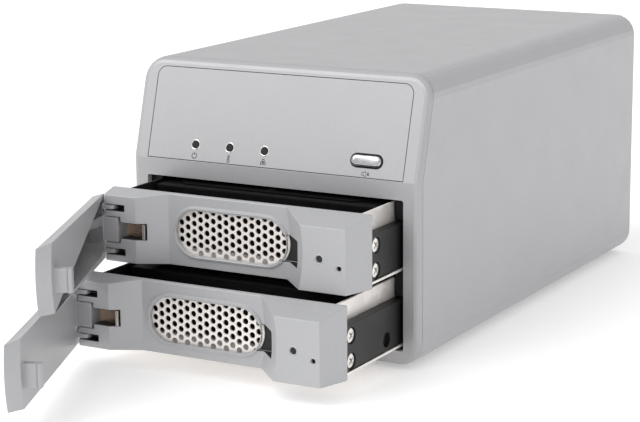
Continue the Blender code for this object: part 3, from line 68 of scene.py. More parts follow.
# ---------------------------------------------------------------- sizes
EDGE_ANGLE = math.radians(30.0)
ROUNDED_ANGLE = math.radians(50.0)
WELD = 0.000002
FINE_WELD = 0.000001
# Lift and thickness of the thin black sheets that paint shade in the bezel's slots and on the
# tray's left wall
SHADE_SHEET_LIFT = 0.00004
SHADE_SHEET_THICKNESS = 0.00006
TRAYS = ("upper_", "lower_")
RECORD_JOINTS = {joint["name"]: joint for joint in frame["joints"]}
SLANT_INWARD = Vector(RECORD_JOINTS["mute_press"]["axis"])
SLANT_UP = Vector((0.0, -SLANT_INWARD.z, SLANT_INWARD.y))

# Camera
CAMERA_PLACE = (0.40716, -0.72843, 0.23154)
CAMERA_YAW = math.radians(29.395)
CAMERA_PITCH = math.radians(12.286)
CAMERA_ROLL = math.radians(-0.4855)
CAMERA_LENS = 112.765
SENSOR_WIDTH = 36.0

# Fascia
LIGHT_RADIUS = 0.0015
LIGHT_EYELET_MARGIN = 0.0001
LIGHT_EYELET_SUNK = 0.0002
LIGHT_DOME_SUNK = 0.0004
LIGHT_DOME_RISE = 0.0006
BUTTON_LENGTH = 0.0134
BUTTON_HEIGHT = 0.0046
BUTTON_PROUD = 0.0012
BUTTON_DEPTH = 0.004
# A black wire ring of painted shade round the mute button's hole
SHADE_RING_GROWTH = 0.0011
SHADE_RING_WIRE = 0.00014
SHADE_RING_SUNK = 0.00004
SIGN_DROP = 0.0046
MUTE_SIGN_DROP = SIGN_DROP + 0.0006
SIGN_RAISE = 0.00004
SIGN_STROKE = 0.0002
SIGN_SCALE = 1.25
PANEL_CORNER_RADIUS = 0.004
PANEL_GAP = 0.0003
PANEL_THICKNESS = 0.001
PANEL_ROUNDING = 0.0001
# A black ring of painted shade in the gap round the fascia panel
GAP_SHADE_CLEARANCE = 0.00003
GAP_SHADE_FRONT = 0.0002
GAP_SHADE_BACK = 0.0009
LIGHT_HOLE_RADIUS = 0.0019
BUTTON_HOLE_MARGIN = 0.0004

# Bezel slots and holes, from the bezel's lower front corner, holes as (x, height, radius of the
# eyelet's inside); the left wall of the tray, from its left edge
# The slot boxes and the left wall's span below mark where black sheets of painted shade go
BEZEL_SLOT_LOW = (0.0198, 0.0040, 0.0070)
BEZEL_SLOT_HIGH = (0.0324, 0.0132, 0.0180)
HINGE_HEIGHT = 0.0132
ARM_OFFSET = 0.0091
ARM_SLOT_X = (-0.0565, -0.0491)
ARM_SLOT_Y = (0.0061, 0.0120)
ARM_SLOT_HALF = 0.0014
SPRING_WINDOW_X = (-0.0512, -0.0397)
SPRING_WINDOW_Y = (0.0061, 0.0122)
SPRING_WINDOW_HALF = 0.0034
LAMP_HOLE = (0.044, 0.0131, 0.0014)
LOCK_HOLE = (0.0526, 0.0102, 0.001)
EYELET_WIDTH = 0.00065
EYELET_SUNK = 0.00002
LEFT_WALL_START = 0.0046
LEFT_WALL_END = 0.0058

# Grille, from the bezel's lower front corner
GRILLE_X = -0.0027
GRILLE_HEIGHT = 0.0142
GRILLE_LENGTH = 0.0507
GRILLE_TALL = 0.0183
GRILLE_LAP = 0.0012
GRILLE_THICKNESS = 0.0008
GRILLE_ROUNDING = 0.0001
GRILLE_BEAD_SUNK = 0.0002
GRILLE_RIM_FRONT = 0.0114
GRILLE_RIM_MIDDLE = 0.0008
GRILLE_BEAD_RADIUS = 0.00042
HOLE_RADIUS = 0.00124
HOLE_PITCH = 0.00345
HOLE_SIDES = 20
HOLE_MARGIN = 0.00158

# Leaf spring
SPRING_THICKNESS = 0.0004
CLIP_WIDTH = 0.0013

# Screws, with the turns of their crosses in degrees: on the rails, the turn and what a side adds
RAIL_SCREW_RADIUS = 0.003
RAIL_SCREW_THICKNESS = 0.0012
CROSS_REACH = 0.0021
CROSS_WIDTH = 0.00095
CROSS_DEPTH = 0.0011
CROSS_TAPER = 0.6
CUTTER_PROUD = 0.001
CROWN_SHARE = 0.15
RAIL_SCREW_TURN = 20.0
RAIL_SCREW_TURN_BY_SIDE = 30.0
REAR_SCREW_TURN = 25.0

# Drive
LID_RISE = 0.0006
LID_INSET = 0.0035
LID_ROUNDING = 0.0002
CASTING_ROUNDING = 0.0009
DRIVE_SCREW_RADIUS = 0.0021
DRIVE_SCREW_THICKNESS = 0.0004
DRIVE_SCREW_INSET = 0.008

# Fan; the hub is shorter than the rotor's solid
FAN_HUB_RADIUS = 0.0115
FAN_TIP_RADIUS = 0.0272
FAN_BLADES = 7
HUB_SHORTER = 0.0027
BLADE_SUNK = 0.0008
BLADE_PITCH = 48.0
BLADE_TWIST = 16.0
BLADE_CHORD = 0.0105
BLADE_FLARE = 0.003
BLADE_CAMBER = 0.0011
BLADE_HALF_THICKNESS = 0.00045
BLADE_SWEEP = 0.18
GUARD_WIRE = 0.00055
GUARD_RINGS = (0.0075, 0.0130, 0.0185, 0.0240)

# Rear sockets
JACK_CONTACTS = 8
JACK_PITCH = 0.00102
PORT_CONTACTS = 4
PORT_PITCH = 0.0022
PORT_CONTACT_HALF = 0.0005

# Studio
FLOOR_SIZE = 12.0
FLOOR_DROP = 0.0002
FLOOR_GLOW = 0.26
WORLD_STRENGTH = 0.80
SUNS = (("key", (-0.42, -0.60, 0.68), 1.45), ("fill", (0.75, -0.45, 0.48), 0.03))
SUN_SPREAD = math.radians(50.0)


# ---------------------------------------------------------------- materials
class Tree:
    """Builds a node tree on object coordinates, which ride with the piece."""

    def __init__(self, name):
        self.material = bpy.data.materials.new(name)
        self.material.use_nodes = True
        self.nodes = self.material.node_tree.nodes
        self.links = self.material.node_tree.links
        self.shader = self.nodes["Principled BSDF"]
        self.place = self.nodes.new("ShaderNodeTexCoord").outputs["Object"]
        self.height = None

    def set(self, **values):
        for name, value in values.items():
            socket = name.replace("_", " ").title().replace("Ior", "IOR")
            self.shader.inputs[socket].default_value = value
        return self

    def mapped(self, stretch):
        mapping = self.nodes.new("ShaderNodeMapping")
        mapping.inputs["Scale"].default_value = stretch
        self.links.new(self.place, mapping.inputs["Vector"])
        return mapping.outputs["Vector"]

    def noise(self, scale, detail=3.0, stretch=(1.0, 1.0, 1.0)):
        made = self.nodes.new("ShaderNodeTexNoise")
        made.inputs["Scale"].default_value = scale
        made.inputs["Detail"].default_value = detail
        self.links.new(self.mapped(stretch), made.inputs["Vector"])
        return made.outputs["Fac"]

    def cells(self, scale, stretch=(1.0, 1.0, 1.0)):
        made = self.nodes.new("ShaderNodeTexVoronoi")
        made.inputs["Scale"].default_value = scale
        self.links.new(self.mapped(stretch), made.inputs["Vector"])
        grey = self.nodes.new("ShaderNodeRGBToBW")
        self.links.new(made.outputs["Color"], grey.inputs["Color"])
        return grey.outputs["Val"]

    def ranged(self, source, low, high, start=0.3, end=0.7):
        made = self.nodes.new("ShaderNodeMapRange")
        for name, value in (("From Min", start), ("From Max", end), ("To Min", low),
                            ("To Max", high)):
            made.inputs[name].default_value = value
        self.links.new(source, made.inputs["Value"])
        return made.outputs["Result"]

    def color(self, source, dark, light):
        mix = self.nodes.new("ShaderNodeMix")
        mix.data_type = "RGBA"
        mix.inputs["A"].default_value = (*dark, 1.0)
        mix.inputs["B"].default_value = (*light, 1.0)
        self.links.new(self.ranged(source, 0.0, 1.0), mix.inputs["Factor"])
        self.links.new(mix.outputs["Result"], self.shader.inputs["Base Color"])
        self.material.diffuse_color = (*light, 1.0)

    def roughness(self, source, low, high):
        self.links.new(self.ranged(source, low, high), self.shader.inputs["Roughness"])

    def bump(self, source, distance, strength=1.0):
        made = self.nodes.new("ShaderNodeBump")
        made.inputs["Strength"].default_value = strength
        made.inputs["Distance"].default_value = distance
        self.links.new(source, made.inputs["Height"])
        if self.height is not None:
            self.links.new(self.height, made.inputs["Normal"])
        self.height = made.outputs["Normal"]
        self.links.new(self.height, self.shader.inputs["Normal"])


def shades(base, spread):
    return [c * (1.0 - spread) for c in base], [c * (1.0 + spread) for c in base]


def satin_paint(name, base, metallic):
    """Silver paint: metal flakes under a soft coat, with a faint orange peel."""
    tree = Tree(name).set(metallic=metallic, coat_weight=0.12, coat_roughness=0.25)
    tree.color(tree.cells(4200.0), *shades(base, 0.035))
    tree.roughness(tree.noise(60.0, 4.0), 0.36, 0.44)
    tree.bump(tree.noise(900.0, 2.0), 0.00001)
    tree.bump(tree.cells(4200.0), 0.000004)
    return tree.material


def moulded(name, base, low, high, grain=2600.0, depth=0.000012):
    """Moulded plastic with a fine spark-eroded texture and faint handling marks."""
    tree = Tree(name).set(specular_ior_level=0.4)
    tree.color(tree.noise(180.0, 4.0), *shades(base, 0.12))
    tree.roughness(tree.noise(45.0, 5.0), low, high)
    tree.bump(tree.noise(grain, 3.0), depth)
    return tree.material


def powder_coat(name, base, shine=0.3):
    """Black powder coat: a pebbled skin over steel."""
    tree = Tree(name).set(metallic=0.0, specular_ior_level=shine)
    tree.color(tree.noise(300.0, 3.0), *shades(base, 0.25))
    tree.roughness(tree.noise(90.0, 4.0), 0.5, 0.66)
    tree.bump(tree.noise(1800.0, 2.0), 0.00003)
    return tree.material


def drawn_metal(name, base, low, high, metallic=1.0, stretch=(1.0, 0.03, 1.0), depth=0.000004):
    """Rolled or brushed metal, with its marks running along the axis that is stretched."""
    tree = Tree(name).set(metallic=metallic)
    lines = tree.noise(2600.0, 3.0, stretch)
    tree.color(lines, *shades(base, 0.07))
    tree.roughness(tree.noise(120.0, 5.0), low, high)
    tree.bump(lines, depth)
    return tree.material


def zinc_coat(name, base):
    """Zinc-coated sheet: a faint spangle crossed by rolling marks."""
    tree = Tree(name).set(metallic=0.35)
    tree.color(tree.cells(260.0, (1.0, 0.6, 1.0)), *shades(base, 0.06))
    tree.roughness(tree.cells(260.0, (1.0, 0.6, 1.0)), 0.34, 0.5)
    tree.bump(tree.noise(2200.0, 2.0, (1.0, 0.04, 1.0)), 0.000004)
    return tree.material


def plated(name, base, low, high, metallic=1.0):
    """Bright plate with hairline wear."""
    tree = Tree(name).set(metallic=metallic)
    tree.color(tree.noise(700.0, 4.0), *shades(base, 0.05))
    tree.roughness(tree.noise(400.0, 5.0), low, high)
    tree.bump(tree.noise(3000.0, 2.0), 0.000002)
    return tree.material


def casting(name, base):
    """A casting near black with almost no shine, dark as painted shade for the bay: a shallow,
    uneven grain.
    """
    tree = Tree(name).set(metallic=0.0, specular_ior_level=0.06)
    tree.color(tree.noise(420.0, 4.0), *shades(base, 0.16))
    tree.roughness(tree.noise(160.0, 4.0), 0.38, 0.56)
    tree.bump(tree.noise(1100.0, 3.0), 0.00003)
    return tree.material


def solder_mask(name, base):
    """A circuit board: copper tracks seen as a raised pattern under green lacquer."""
    tree = Tree(name).set(specular_ior_level=0.6, coat_weight=0.3, coat_roughness=0.2)
    tracks = tree.nodes.new("ShaderNodeTexBrick")
    tracks.inputs["Scale"].default_value = 260.0
    tracks.inputs["Mortar Size"].default_value = 0.16
    tree.links.new(tree.place, tracks.inputs["Vector"])
    tree.color(tracks.outputs["Fac"], [c * 0.7 for c in base], [c * 1.7 for c in base])
    tree.roughness(tree.noise(200.0, 3.0), 0.3, 0.45)
    tree.bump(tracks.outputs["Fac"], 0.00003)
    return tree.material


def rubbery(name, base):
    tree = Tree(name).set(specular_ior_level=0.25)
    tree.color(tree.noise(500.0, 4.0), *shades(base, 0.2))
    tree.roughness(tree.noise(300.0, 4.0), 0.72, 0.88)
    tree.bump(tree.noise(2400.0, 3.0), 0.00004)
    return tree.material


def smoked_lens(name, base):
    tree = Tree(name).set(coat_weight=0.1, coat_roughness=0.06, specular_ior_level=0.25)
    tree.color(tree.noise(900.0, 2.0), *shades(base, 0.25))
    tree.roughness(tree.noise(600.0, 3.0), 0.12, 0.2)
    tree.bump(tree.cells(1500.0), 0.00003)
    return tree.material


def print_ink(name, base):
    tree = Tree(name).set(specular_ior_level=0.3)
    tree.color(tree.noise(3500.0, 3.0), *shades(base, 0.18))
    tree.roughness(tree.noise(1500.0, 3.0), 0.5, 0.65)
    tree.bump(tree.noise(4000.0, 2.0), 0.000003)
    return tree.material


PAINT = satin_paint("housing_paint", (0.40, 0.40, 0.412), 0.2)
TRAY_PAINT = satin_paint("tray_paint", (0.425, 0.427, 0.44), 0.2)
BLACK_STEEL = powder_coat("black_powder_coat", (0.0045, 0.0045, 0.005))
BLACK_PLASTIC = moulded("black_moulding", (0.018, 0.018, 0.019), 0.42, 0.56)
CHARCOAL = moulded("rail_moulding", (0.0075, 0.0068, 0.0068), 0.4, 0.52, 3200.0, 0.000008)
STEEL = drawn_metal("brushed_steel", (0.48, 0.48, 0.49), 0.3, 0.42, 0.85, (0.03, 1.0, 1.0))
NICKEL = plated("bright_nickel", (0.80, 0.78, 0.75), 0.18, 0.28)
CHROME = plated("polished_chrome", (0.50, 0.50, 0.52), 0.10, 0.18)
BRONZE = drawn_metal("spring_bronze", (0.46, 0.33, 0.24), 0.2, 0.32, 1.0, (0.04, 1.0, 1.0))
GRILLE_PLATE = plated("grille_plate", (0.90, 0.85, 0.81), 0.42, 0.52, 0.35)
ZINC = zinc_coat("zinc_sheet", (0.93, 0.885, 0.85))
LENS = smoked_lens("smoked_lens", (0.014, 0.0145, 0.016))
# The drive is a real part; the near-black colour and almost no shine of its casting and lid are
# painted shade for the dark bay
CASTING = casting("drive_casting", (0.004, 0.004, 0.0043))
LID = powder_coat("drive_lid", (0.003, 0.003, 0.0033), 0.06)
BOARD = solder_mask("circuit_board", (0.012, 0.07, 0.028))
RUBBER = rubbery("foot_rubber", (0.014, 0.014, 0.014))
GOLD = plated("gold_contact", (0.80, 0.56, 0.22), 0.16, 0.26)
INK = print_ink("print_ink", (0.05, 0.05, 0.055))

# The frame's nodes that are shown as they are, by the material they take
CARRIED = (
    (PAINT, ("outer_shell", "front_mask")),
    (LENS, ("power_light", "temperature_light", "fan_light", "upper_light_pipe",
            "lower_light_pipe")),
    (BOARD, ("front_board", "backplane_board", "controller_board", "upper_drive_board",
             "lower_drive_board")),
    (BLACK_STEEL, ("bay_cage",)),
    (NICKEL, ("upper_lever_pin", "lower_lever_pin")),
)

# The nodes whose edges are rounded: material, slot, width of the rounding, and the angle in
# degrees between two faces from which their edge is rounded
ROUNDED = (
    (BLACK_PLASTIC, "black_plastic", 0.0002, 31.0, (
        "upper_drive_socket", "lower_drive_socket", "fan_frame", "power_inlet", "power_switch",
        "power_rocker")),
    (STEEL, "plain_steel", 0.0001, 31.0, (
        "power_supply", "rear_panel", "network_jack", "usb_port")),
    (TRAY_PAINT, "tray_silver", 0.00025, 15.4, (
        "upper_tray_bezel", "lower_tray_bezel", "upper_lever", "lower_lever")),
    (CHARCOAL, "rail_charcoal", 0.0002, 31.0, (
        "upper_left_rail", "upper_right_rail", "lower_left_rail", "lower_right_rail")),
    (ZINC, "zinc_sheet", 0.0001, 31.0, ("upper_tray_frame", "lower_tray_frame")),
)


# ---------------------------------------------------------------- making pieces
def body_of_node(node):
    return frame["nodes"][node]["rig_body"]


def add(name, bm, material, body, replaces=(), smooth=EDGE_ANGLE):
    """Turn a bmesh into a piece that rides on a body."""
    bmesh.ops.recalc_face_normals(bm, faces=bm.faces)
    mesh = bpy.data.meshes.new(name)
    bm.to_mesh(mesh)
    bm.free()
    mesh.materials.append(material)
    mesh.shade_smooth()
    mesh.set_sharp_from_angle(angle=smooth)
    made = bpy.data.objects.new(name, mesh)
    bpy.context.scene.collection.objects.link(made)
    weigh = made.modifiers.new("weighted_normals", "WEIGHTED_NORMAL")
    weigh.keep_sharp = True
    weigh.weight = 90
    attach(made, body)
    if replaces:
        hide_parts(*replaces)
    return made


def basis(origin, across, up, inward):
    """The matrix that takes (across, inward, up) coordinates to the frame."""
    across, up, inward = Vector(across), Vector(up), Vector(inward)
    turn = Matrix((across, inward, up)).transposed().to_4x4()
    return Matrix.Translation(Vector(origin)) @ turn


def into(bm, matrix):
    bmesh.ops.transform(bm, matrix=matrix, verts=bm.verts)
    return bm


def merged(*parts):
    """One bmesh that holds several, which stay separate shells."""
    whole = bmesh.new()
    for part in parts:
        mesh = bpy.data.meshes.new("part")
        part.to_mesh(mesh)
        part.free()
        whole.from_mesh(mesh)
        bpy.data.meshes.remove(mesh)
    return whole


def block(low, high, round_by=0.0, steps=2):
    bm = bmesh.new()
    bmesh.ops.create_cube(bm, size=1.0)
    low, high = Vector(low), Vector(high)
    bmesh.ops.scale(bm, vec=high - low, verts=bm.verts)
    bmesh.ops.translate(bm, vec=(low + high) / 2, verts=bm.verts)
    if round_by:
        bmesh.ops.bevel(bm, geom=bm.edges[:], offset=round_by, segments=steps, profile=0.5,
                        affect="EDGES")
    return bm


def turned(profile, sides=32):
    """Revolve (radius, depth) points about the inward axis, from the first to the last."""
    bm = bmesh.new()
    rings = []
    for radius, depth in profile:
        if radius == 0.0:
            rings.append([bm.verts.new((0.0, depth, 0.0))])
            continue
        rings.append([bm.verts.new((radius * math.cos(math.tau * k / sides), depth,
                                    radius * math.sin(math.tau * k / sides)))
                      for k in range(sides)])
    for near, far in zip(rings, rings[1:]):
        for k in range(sides):
            corners = [near[k % len(near)], near[(k + 1) % sides % len(near)],
                       far[(k + 1) % sides % len(far)], far[k % len(far)]]
            distinct = list(dict.fromkeys(corners))
            if len(distinct) > 2:
                bm.faces.new(distinct)
    return bm


def arc(centre, radius, start, end, steps):
    angles = [math.radians(start + (end - start) * k / steps) for k in range(steps + 1)]
    return [(centre[0] + radius * math.cos(a), centre[1] + radius * math.sin(a)) for a in angles]


def capsule(x, z, length, tall, steps=24):
    reach = (length - tall) / 2
    return (arc((x + reach, z), tall / 2, -90.0, 90.0, steps)
            + arc((x - reach, z), tall / 2, 90.0, 270.0, steps))


def circle(x, z, radius, sides):
    return arc((x, z), radius, 0.0, 360.0, sides)[:-1]


def plate(loops, front, back, round_by=0.0):
    """Extrude flat outlines, the first outside and the rest as holes, from front to back."""
    curve = bpy.data.curves.new("outline", "CURVE")
    curve.dimensions = "2D"
    curve.fill_mode = "BOTH"
    curve.extrude = (back - front) / 2 - round_by
    curve.bevel_depth = round_by
    curve.bevel_resolution = 1
    curve.offset = -round_by
    for loop in loops:
        spline = curve.splines.new("POLY")
        spline.points.add(len(loop) - 1)
        for point, (u, v) in zip(spline.points, loop):
            point.co = (u, v, 0.0, 1.0)
        spline.use_cyclic_u = True
    flat = bpy.data.objects.new("outline", curve)
    bpy.context.scene.collection.objects.link(flat)
    graph = bpy.context.evaluated_depsgraph_get()
    mesh = bpy.data.meshes.new_from_object(flat.evaluated_get(graph))
    bm = bmesh.new()
    bm.from_mesh(mesh)
    bpy.data.meshes.remove(mesh)
    bpy.data.objects.remove(flat, do_unlink=True)
    bpy.data.curves.remove(curve)
    bmesh.ops.remove_doubles(bm, verts=bm.verts, dist=FINE_WELD)
    for vert in bm.verts:
        vert.co = Vector((vert.co.x, (front + back) / 2 + vert.co.z, vert.co.y))
    return bm


def tube(path, radius, closed=False, sides=10):
    """A round wire along points in space."""
    bm = bmesh.new()
    count = len(path)
    points = [Vector(p) for p in path]
    rings = []
    for k, point in enumerate(points):
        before = points[(k - 1) % count] if closed or k else point
        after = points[(k + 1) % count] if closed or k < count - 1 else point
        turn = (after - before).to_track_quat("Y", "Z").to_matrix()
        around = [math.tau * s / sides for s in range(sides)]
        rings.append([bm.verts.new(point + turn @ Vector((radius * math.cos(a), 0.0,
                                                          radius * math.sin(a))))
                      for a in around])
    pairs = list(zip(rings, rings[1:])) + ([(rings[-1], rings[0])] if closed else [])
    for near, far in pairs:
        for s in range(sides):
            t = (s + 1) % sides
            bm.faces.new((near[s], near[t], far[t], far[s]))
    if not closed:
        bm.faces.new(rings[0])
        bm.faces.new(rings[-1])
    return bm


# ---------------------------------------------------------------- the frame's own nodes
def refine(node, material, width, angle):
    """A node's solid with its sharp edges rounded, which takes the node's place."""
    bm = bmesh.new()
    bm.from_mesh(frame["nodes"][node].data)
    bmesh.ops.remove_doubles(bm, verts=bm.verts, dist=WELD)
    bmesh.ops.dissolve_limit(bm, angle_limit=math.radians(0.5), verts=bm.verts, edges=bm.edges)
    sharp = [edge for edge in bm.edges if edge.is_manifold and edge.calc_face_angle() > angle]
    bmesh.ops.bevel(bm, geom=sharp, offset=width, segments=2, profile=0.5, affect="EDGES",
                    clamp_overlap=False)
    add(node + "_fine", bm, material, body_of_node(node), (node,), ROUNDED_ANGLE)


def lay_shade_sheet(node, name, boxes, material):
    """A thin closed sheet of painted shade, in the material given, over the flat walls of a node
    that lie in any of the boxes.
    """
    bm = bmesh.new()
    bm.from_mesh(frame["nodes"][node].data)
    kept = []
    for face in bm.faces:
        middle = face.calc_center_median()
        flat = max(abs(part) for part in face.normal) > 0.99
        if flat and any(all(low[k] < middle[k] < high[k] for k in range(3)) for low, high in boxes):
            kept.append([vert.co + face.normal * SHADE_SHEET_LIFT for vert in face.verts])
    bm.free()
    shade_sheet = bmesh.new()
    for corners in kept:
        shade_sheet.faces.new([shade_sheet.verts.new(corner) for corner in corners])
    bmesh.ops.remove_doubles(shade_sheet, verts=shade_sheet.verts, dist=WELD)
    bmesh.ops.solidify(shade_sheet, geom=shade_sheet.faces[:], thickness=SHADE_SHEET_THICKNESS)
    add(name, shade_sheet, material, body_of_node(node))


def finish_nodes():
    for material, nodes in CARRIED:
        for node in nodes:
            mesh = frame["nodes"][node].data
            mesh.materials.clear()
            mesh.materials.append(material)
    for material, slot, width, angle, nodes in ROUNDED:
        for node in nodes:
            refine(node, material, width, math.radians(angle))


# ---------------------------------------------------------------- fascia
def slant_place(node, half_tall):
    """The matrix at the middle of the outer face of a piece that stands on the slant."""
    low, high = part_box(node)
    middle = Vector(((low.x + high.x) / 2, low.y + half_tall * SLANT_UP.y,
                     high.z - half_tall * SLANT_UP.z))
    return basis(middle, (1.0, 0.0, 0.0), SLANT_UP, SLANT_INWARD)


def make_eyelet(name, matrix, inner, body, material):
    """The bright rolled edge of a small hole."""
    wide = inner + EYELET_WIDTH
    profile = [(inner, 0.0009), (inner, 0.0002), (inner + 0.00012, -0.00005),
               ((inner + wide) / 2, -0.00014), (wide - 0.0001, -0.00006), (wide, 0.00004),
               (wide - 0.0001, 0.0002), (inner + 0.0002, 0.0009), (inner, 0.0009)]
    bm = turned(profile, 28)
    bmesh.ops.remove_doubles(bm, verts=bm.verts, dist=FINE_WELD)
    add(name, into(bm, matrix), material, body)


def sign_strokes(kind):
    """Generic signs, as strokes of (points, closed), within about 1.2 mm of their middle."""
    if kind == "power":
        return [(arc((0.0, 0.0), 0.0009, 125.0, 415.0, 14), False),
                ([(0.0, 0.0003), (0.0, 0.0012)], False)]
    if kind == "heat":
        bulb = arc((0.0, -0.0007), 0.00042, 125.0, 415.0, 12)
        return [([*bulb, *arc((0.0, 0.0009), 0.00024, 0.0, 180.0, 6)], True)]
    if kind == "fan":
        petals = []
        for turn in (90.0, 210.0, 330.0):
            a = math.radians(turn)
            centre = (0.00062 * math.cos(a), 0.00062 * math.sin(a))
            petals.append((circle(*centre, 0.00042, 12), True))
        return petals
    horn = [(-0.0012, -0.0004), (-0.0006, -0.0004), (0.0001, -0.0010), (0.0001, 0.0010),
            (-0.0006, 0.0004), (-0.0012, 0.0004)]
    return [(horn, True), ([(0.0006, -0.0005), (0.0014, 0.0005)], False),
            ([(0.0006, 0.0005), (0.0014, -0.0005)], False)]


def make_sign(kind, matrix, drop):
    strokes = []
    for points, closed in sign_strokes(kind):
        path = [(x * SIGN_SCALE, 0.0, z * SIGN_SCALE - drop) for x, z in points]
        strokes.append(tube(path, SIGN_STROKE, closed, 6))
    bm = merged(*strokes)
    for vert in bm.verts:
        vert.co.y *= SIGN_RAISE / SIGN_STROKE
    add(kind + "_sign", into(bm, matrix), INK, "housing")


def make_fascia_details():
    for node, kind in (("power_light", "power"), ("temperature_light", "heat"),
                       ("fan_light", "fan")):
        matrix = slant_place(node, LIGHT_RADIUS)
        surface = matrix @ Matrix.Translation((0.0, LIGHT_EYELET_SUNK, 0.0))
        # The rolled ring is real geometry; its bright nickel is a painted highlight for the
        # countersink round each lamp's hole in the silver panel
        make_eyelet(node + "_eyelet", surface, LIGHT_RADIUS + LIGHT_EYELET_MARGIN, "housing",
                    NICKEL)
        make_sign(kind, surface, SIGN_DROP)
        dome = [(LIGHT_RADIUS * math.cos(math.radians(a)),
                 -LIGHT_DOME_RISE * math.sin(math.radians(a)))
                for a in range(0, 90, 15)] + [(0.0, -LIGHT_DOME_RISE)]
        low = [(0.0, 0.0006), (LIGHT_RADIUS * 0.98, 0.0006)]
        sunk = surface @ Matrix.Translation((0.0, LIGHT_DOME_SUNK, 0.0))
        add(node + "_dome", into(turned(low + dome, 24), sunk), LENS, "housing")


def wall_box(across, inward, height, half):
    return (across[0], inward[0], height - half), (across[1], inward[1], height + half)


def make_painted_shade(prefix):
    """Painted shade: black sheets over the walls inside the bezel's slots and over the inner face
    of the tray's left wall.
    """
    low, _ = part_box(prefix + "tray_bezel")
    # the latch hole, the two arm slots and the spring window get black sheets of painted shade
    boxes = [(BEZEL_SLOT_LOW, BEZEL_SLOT_HIGH)]
    for offset in (-ARM_OFFSET, ARM_OFFSET):
        boxes.append(wall_box(ARM_SLOT_X, ARM_SLOT_Y, HINGE_HEIGHT + offset, ARM_SLOT_HALF))
    boxes.append(wall_box(SPRING_WINDOW_X, SPRING_WINDOW_Y, HINGE_HEIGHT, SPRING_WINDOW_HALF))
    moved = [((a[0], a[1] + low.y, a[2] + low.z), (b[0], b[1] + low.y, b[2] + low.z))
             for a, b in boxes]
    lay_shade_sheet(prefix + "tray_bezel", prefix + "slot_painted_shade", moved, BLACK_PLASTIC)
    # Painted shade: a black sheet over the inner face and top edge of the tray frame's left wall
    low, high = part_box(prefix + "tray_frame")
    wall = (low.x + LEFT_WALL_START, low.x + LEFT_WALL_END)
    lay_shade_sheet(prefix + "tray_frame", prefix + "left_wall_painted_shade",
               [((wall[0], low.y + 0.002, low.z + 0.002), (wall[1], high.y, high.z + 0.0001))],
               BLACK_STEEL)


def panel_loop(half, tall, margin):
    """The fascia panel's outline about its lower edge's middle, grown by a margin."""
    radius = PANEL_CORNER_RADIUS + margin
    side, top = half + margin, tall + margin
    return ([(-side, -margin), (side, -margin)]
            + arc((side - radius, top - radius), radius, 0.0, 90.0, 10)
            + arc((radius - side, top - radius), radius, 90.0, 180.0, 10))


def make_panel():
    """The fascia panel with rounded edges, and a black ring in the gap round it that paints the
    gap's shade as a dark line.
    """
    low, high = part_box("fascia_panel")
    half = (high.x - low.x) / 2
    tall = (high.z - low.z + PANEL_THICKNESS * SLANT_INWARD.z) / SLANT_UP.z
    foot = Vector(((low.x + high.x) / 2, low.y, high.z - tall * SLANT_UP.z))
    place = basis(foot, (1.0, 0.0, 0.0), SLANT_UP, SLANT_INWARD)
    holes = []
    for node in ("power_light", "temperature_light", "fan_light"):
        middle = place.inverted() @ slant_place(node, LIGHT_RADIUS).translation
        holes.append(circle(middle.x, middle.z, LIGHT_HOLE_RADIUS, 32))
    middle = place.inverted() @ slant_place("mute_button", BUTTON_HEIGHT / 2).translation
    holes.append(capsule(middle.x, middle.z, BUTTON_LENGTH + 2 * BUTTON_HOLE_MARGIN,
                         BUTTON_HEIGHT + 2 * BUTTON_HOLE_MARGIN))
    panel = plate([panel_loop(half, tall, 0.0), *holes], 0.0, PANEL_THICKNESS, PANEL_ROUNDING)
    add("fascia_panel_fine", into(panel, place), PAINT, "housing",
        ("fascia_panel",))
    # Painted shade: a black ring sunk in the gap round the panel
    ring = plate([panel_loop(half, tall, PANEL_GAP - GAP_SHADE_CLEARANCE),
                  panel_loop(half, tall, GAP_SHADE_CLEARANCE)], GAP_SHADE_FRONT, GAP_SHADE_BACK)
    add("fascia_gap_shade", into(ring, place), BLACK_PLASTIC, "housing")


def make_button():
    """A chrome pill with a domed face, and a thin black ring round it that paints the shade of the
    gap it stands in.
    """
    matrix = slant_place("mute_button", BUTTON_HEIGHT / 2)
    bm = bmesh.new()
    layers = [(0.0, BUTTON_DEPTH), (0.0, 0.0009), (0.00012, 0.0005), (0.0004, 0.00018),
              (0.0008, 0.00004), (0.0013, 0.0)]
    rings = []
    for inset, y in layers:
        loop = capsule(0.0, 0.0, BUTTON_LENGTH - 2 * inset, BUTTON_HEIGHT - 2 * inset, 14)
        rings.append([bm.verts.new((x, y, z)) for x, z in loop])
    for near, far in zip(rings, rings[1:]):
        for k in range(len(near)):
            n = (k + 1) % len(near)
            bm.faces.new((near[k], near[n], far[n], far[k]))
    bm.faces.new(rings[0])
    bm.faces.new(rings[-1])
    bmesh.ops.triangulate(bm, faces=[face for face in bm.faces if len(face.verts) > 4])
    add("mute_button_pill", into(bm, matrix), CHROME, "mute_button", ("mute_button",),
        math.radians(60.0))
    surface = matrix @ Matrix.Translation((0.0, BUTTON_PROUD, 0.0))
    # Painted shade: a black wire ring on the panel round the button's hole
    rim = [(x, SHADE_RING_SUNK, z) for x, z in capsule(0.0, 0.0, BUTTON_LENGTH + SHADE_RING_GROWTH,
                                                   BUTTON_HEIGHT + SHADE_RING_GROWTH, 14)]
    bm = tube(rim, SHADE_RING_WIRE, True, 8)
    add("mute_button_shade_ring", into(bm, surface), BLACK_PLASTIC, "housing")
    make_sign("mute", surface, MUTE_SIGN_DROP)


# ---------------------------------------------------------------- trays
def tray_place(prefix):
    low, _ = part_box(prefix + "tray_bezel")
    return Matrix.Translation((0.0, low.y, low.z))


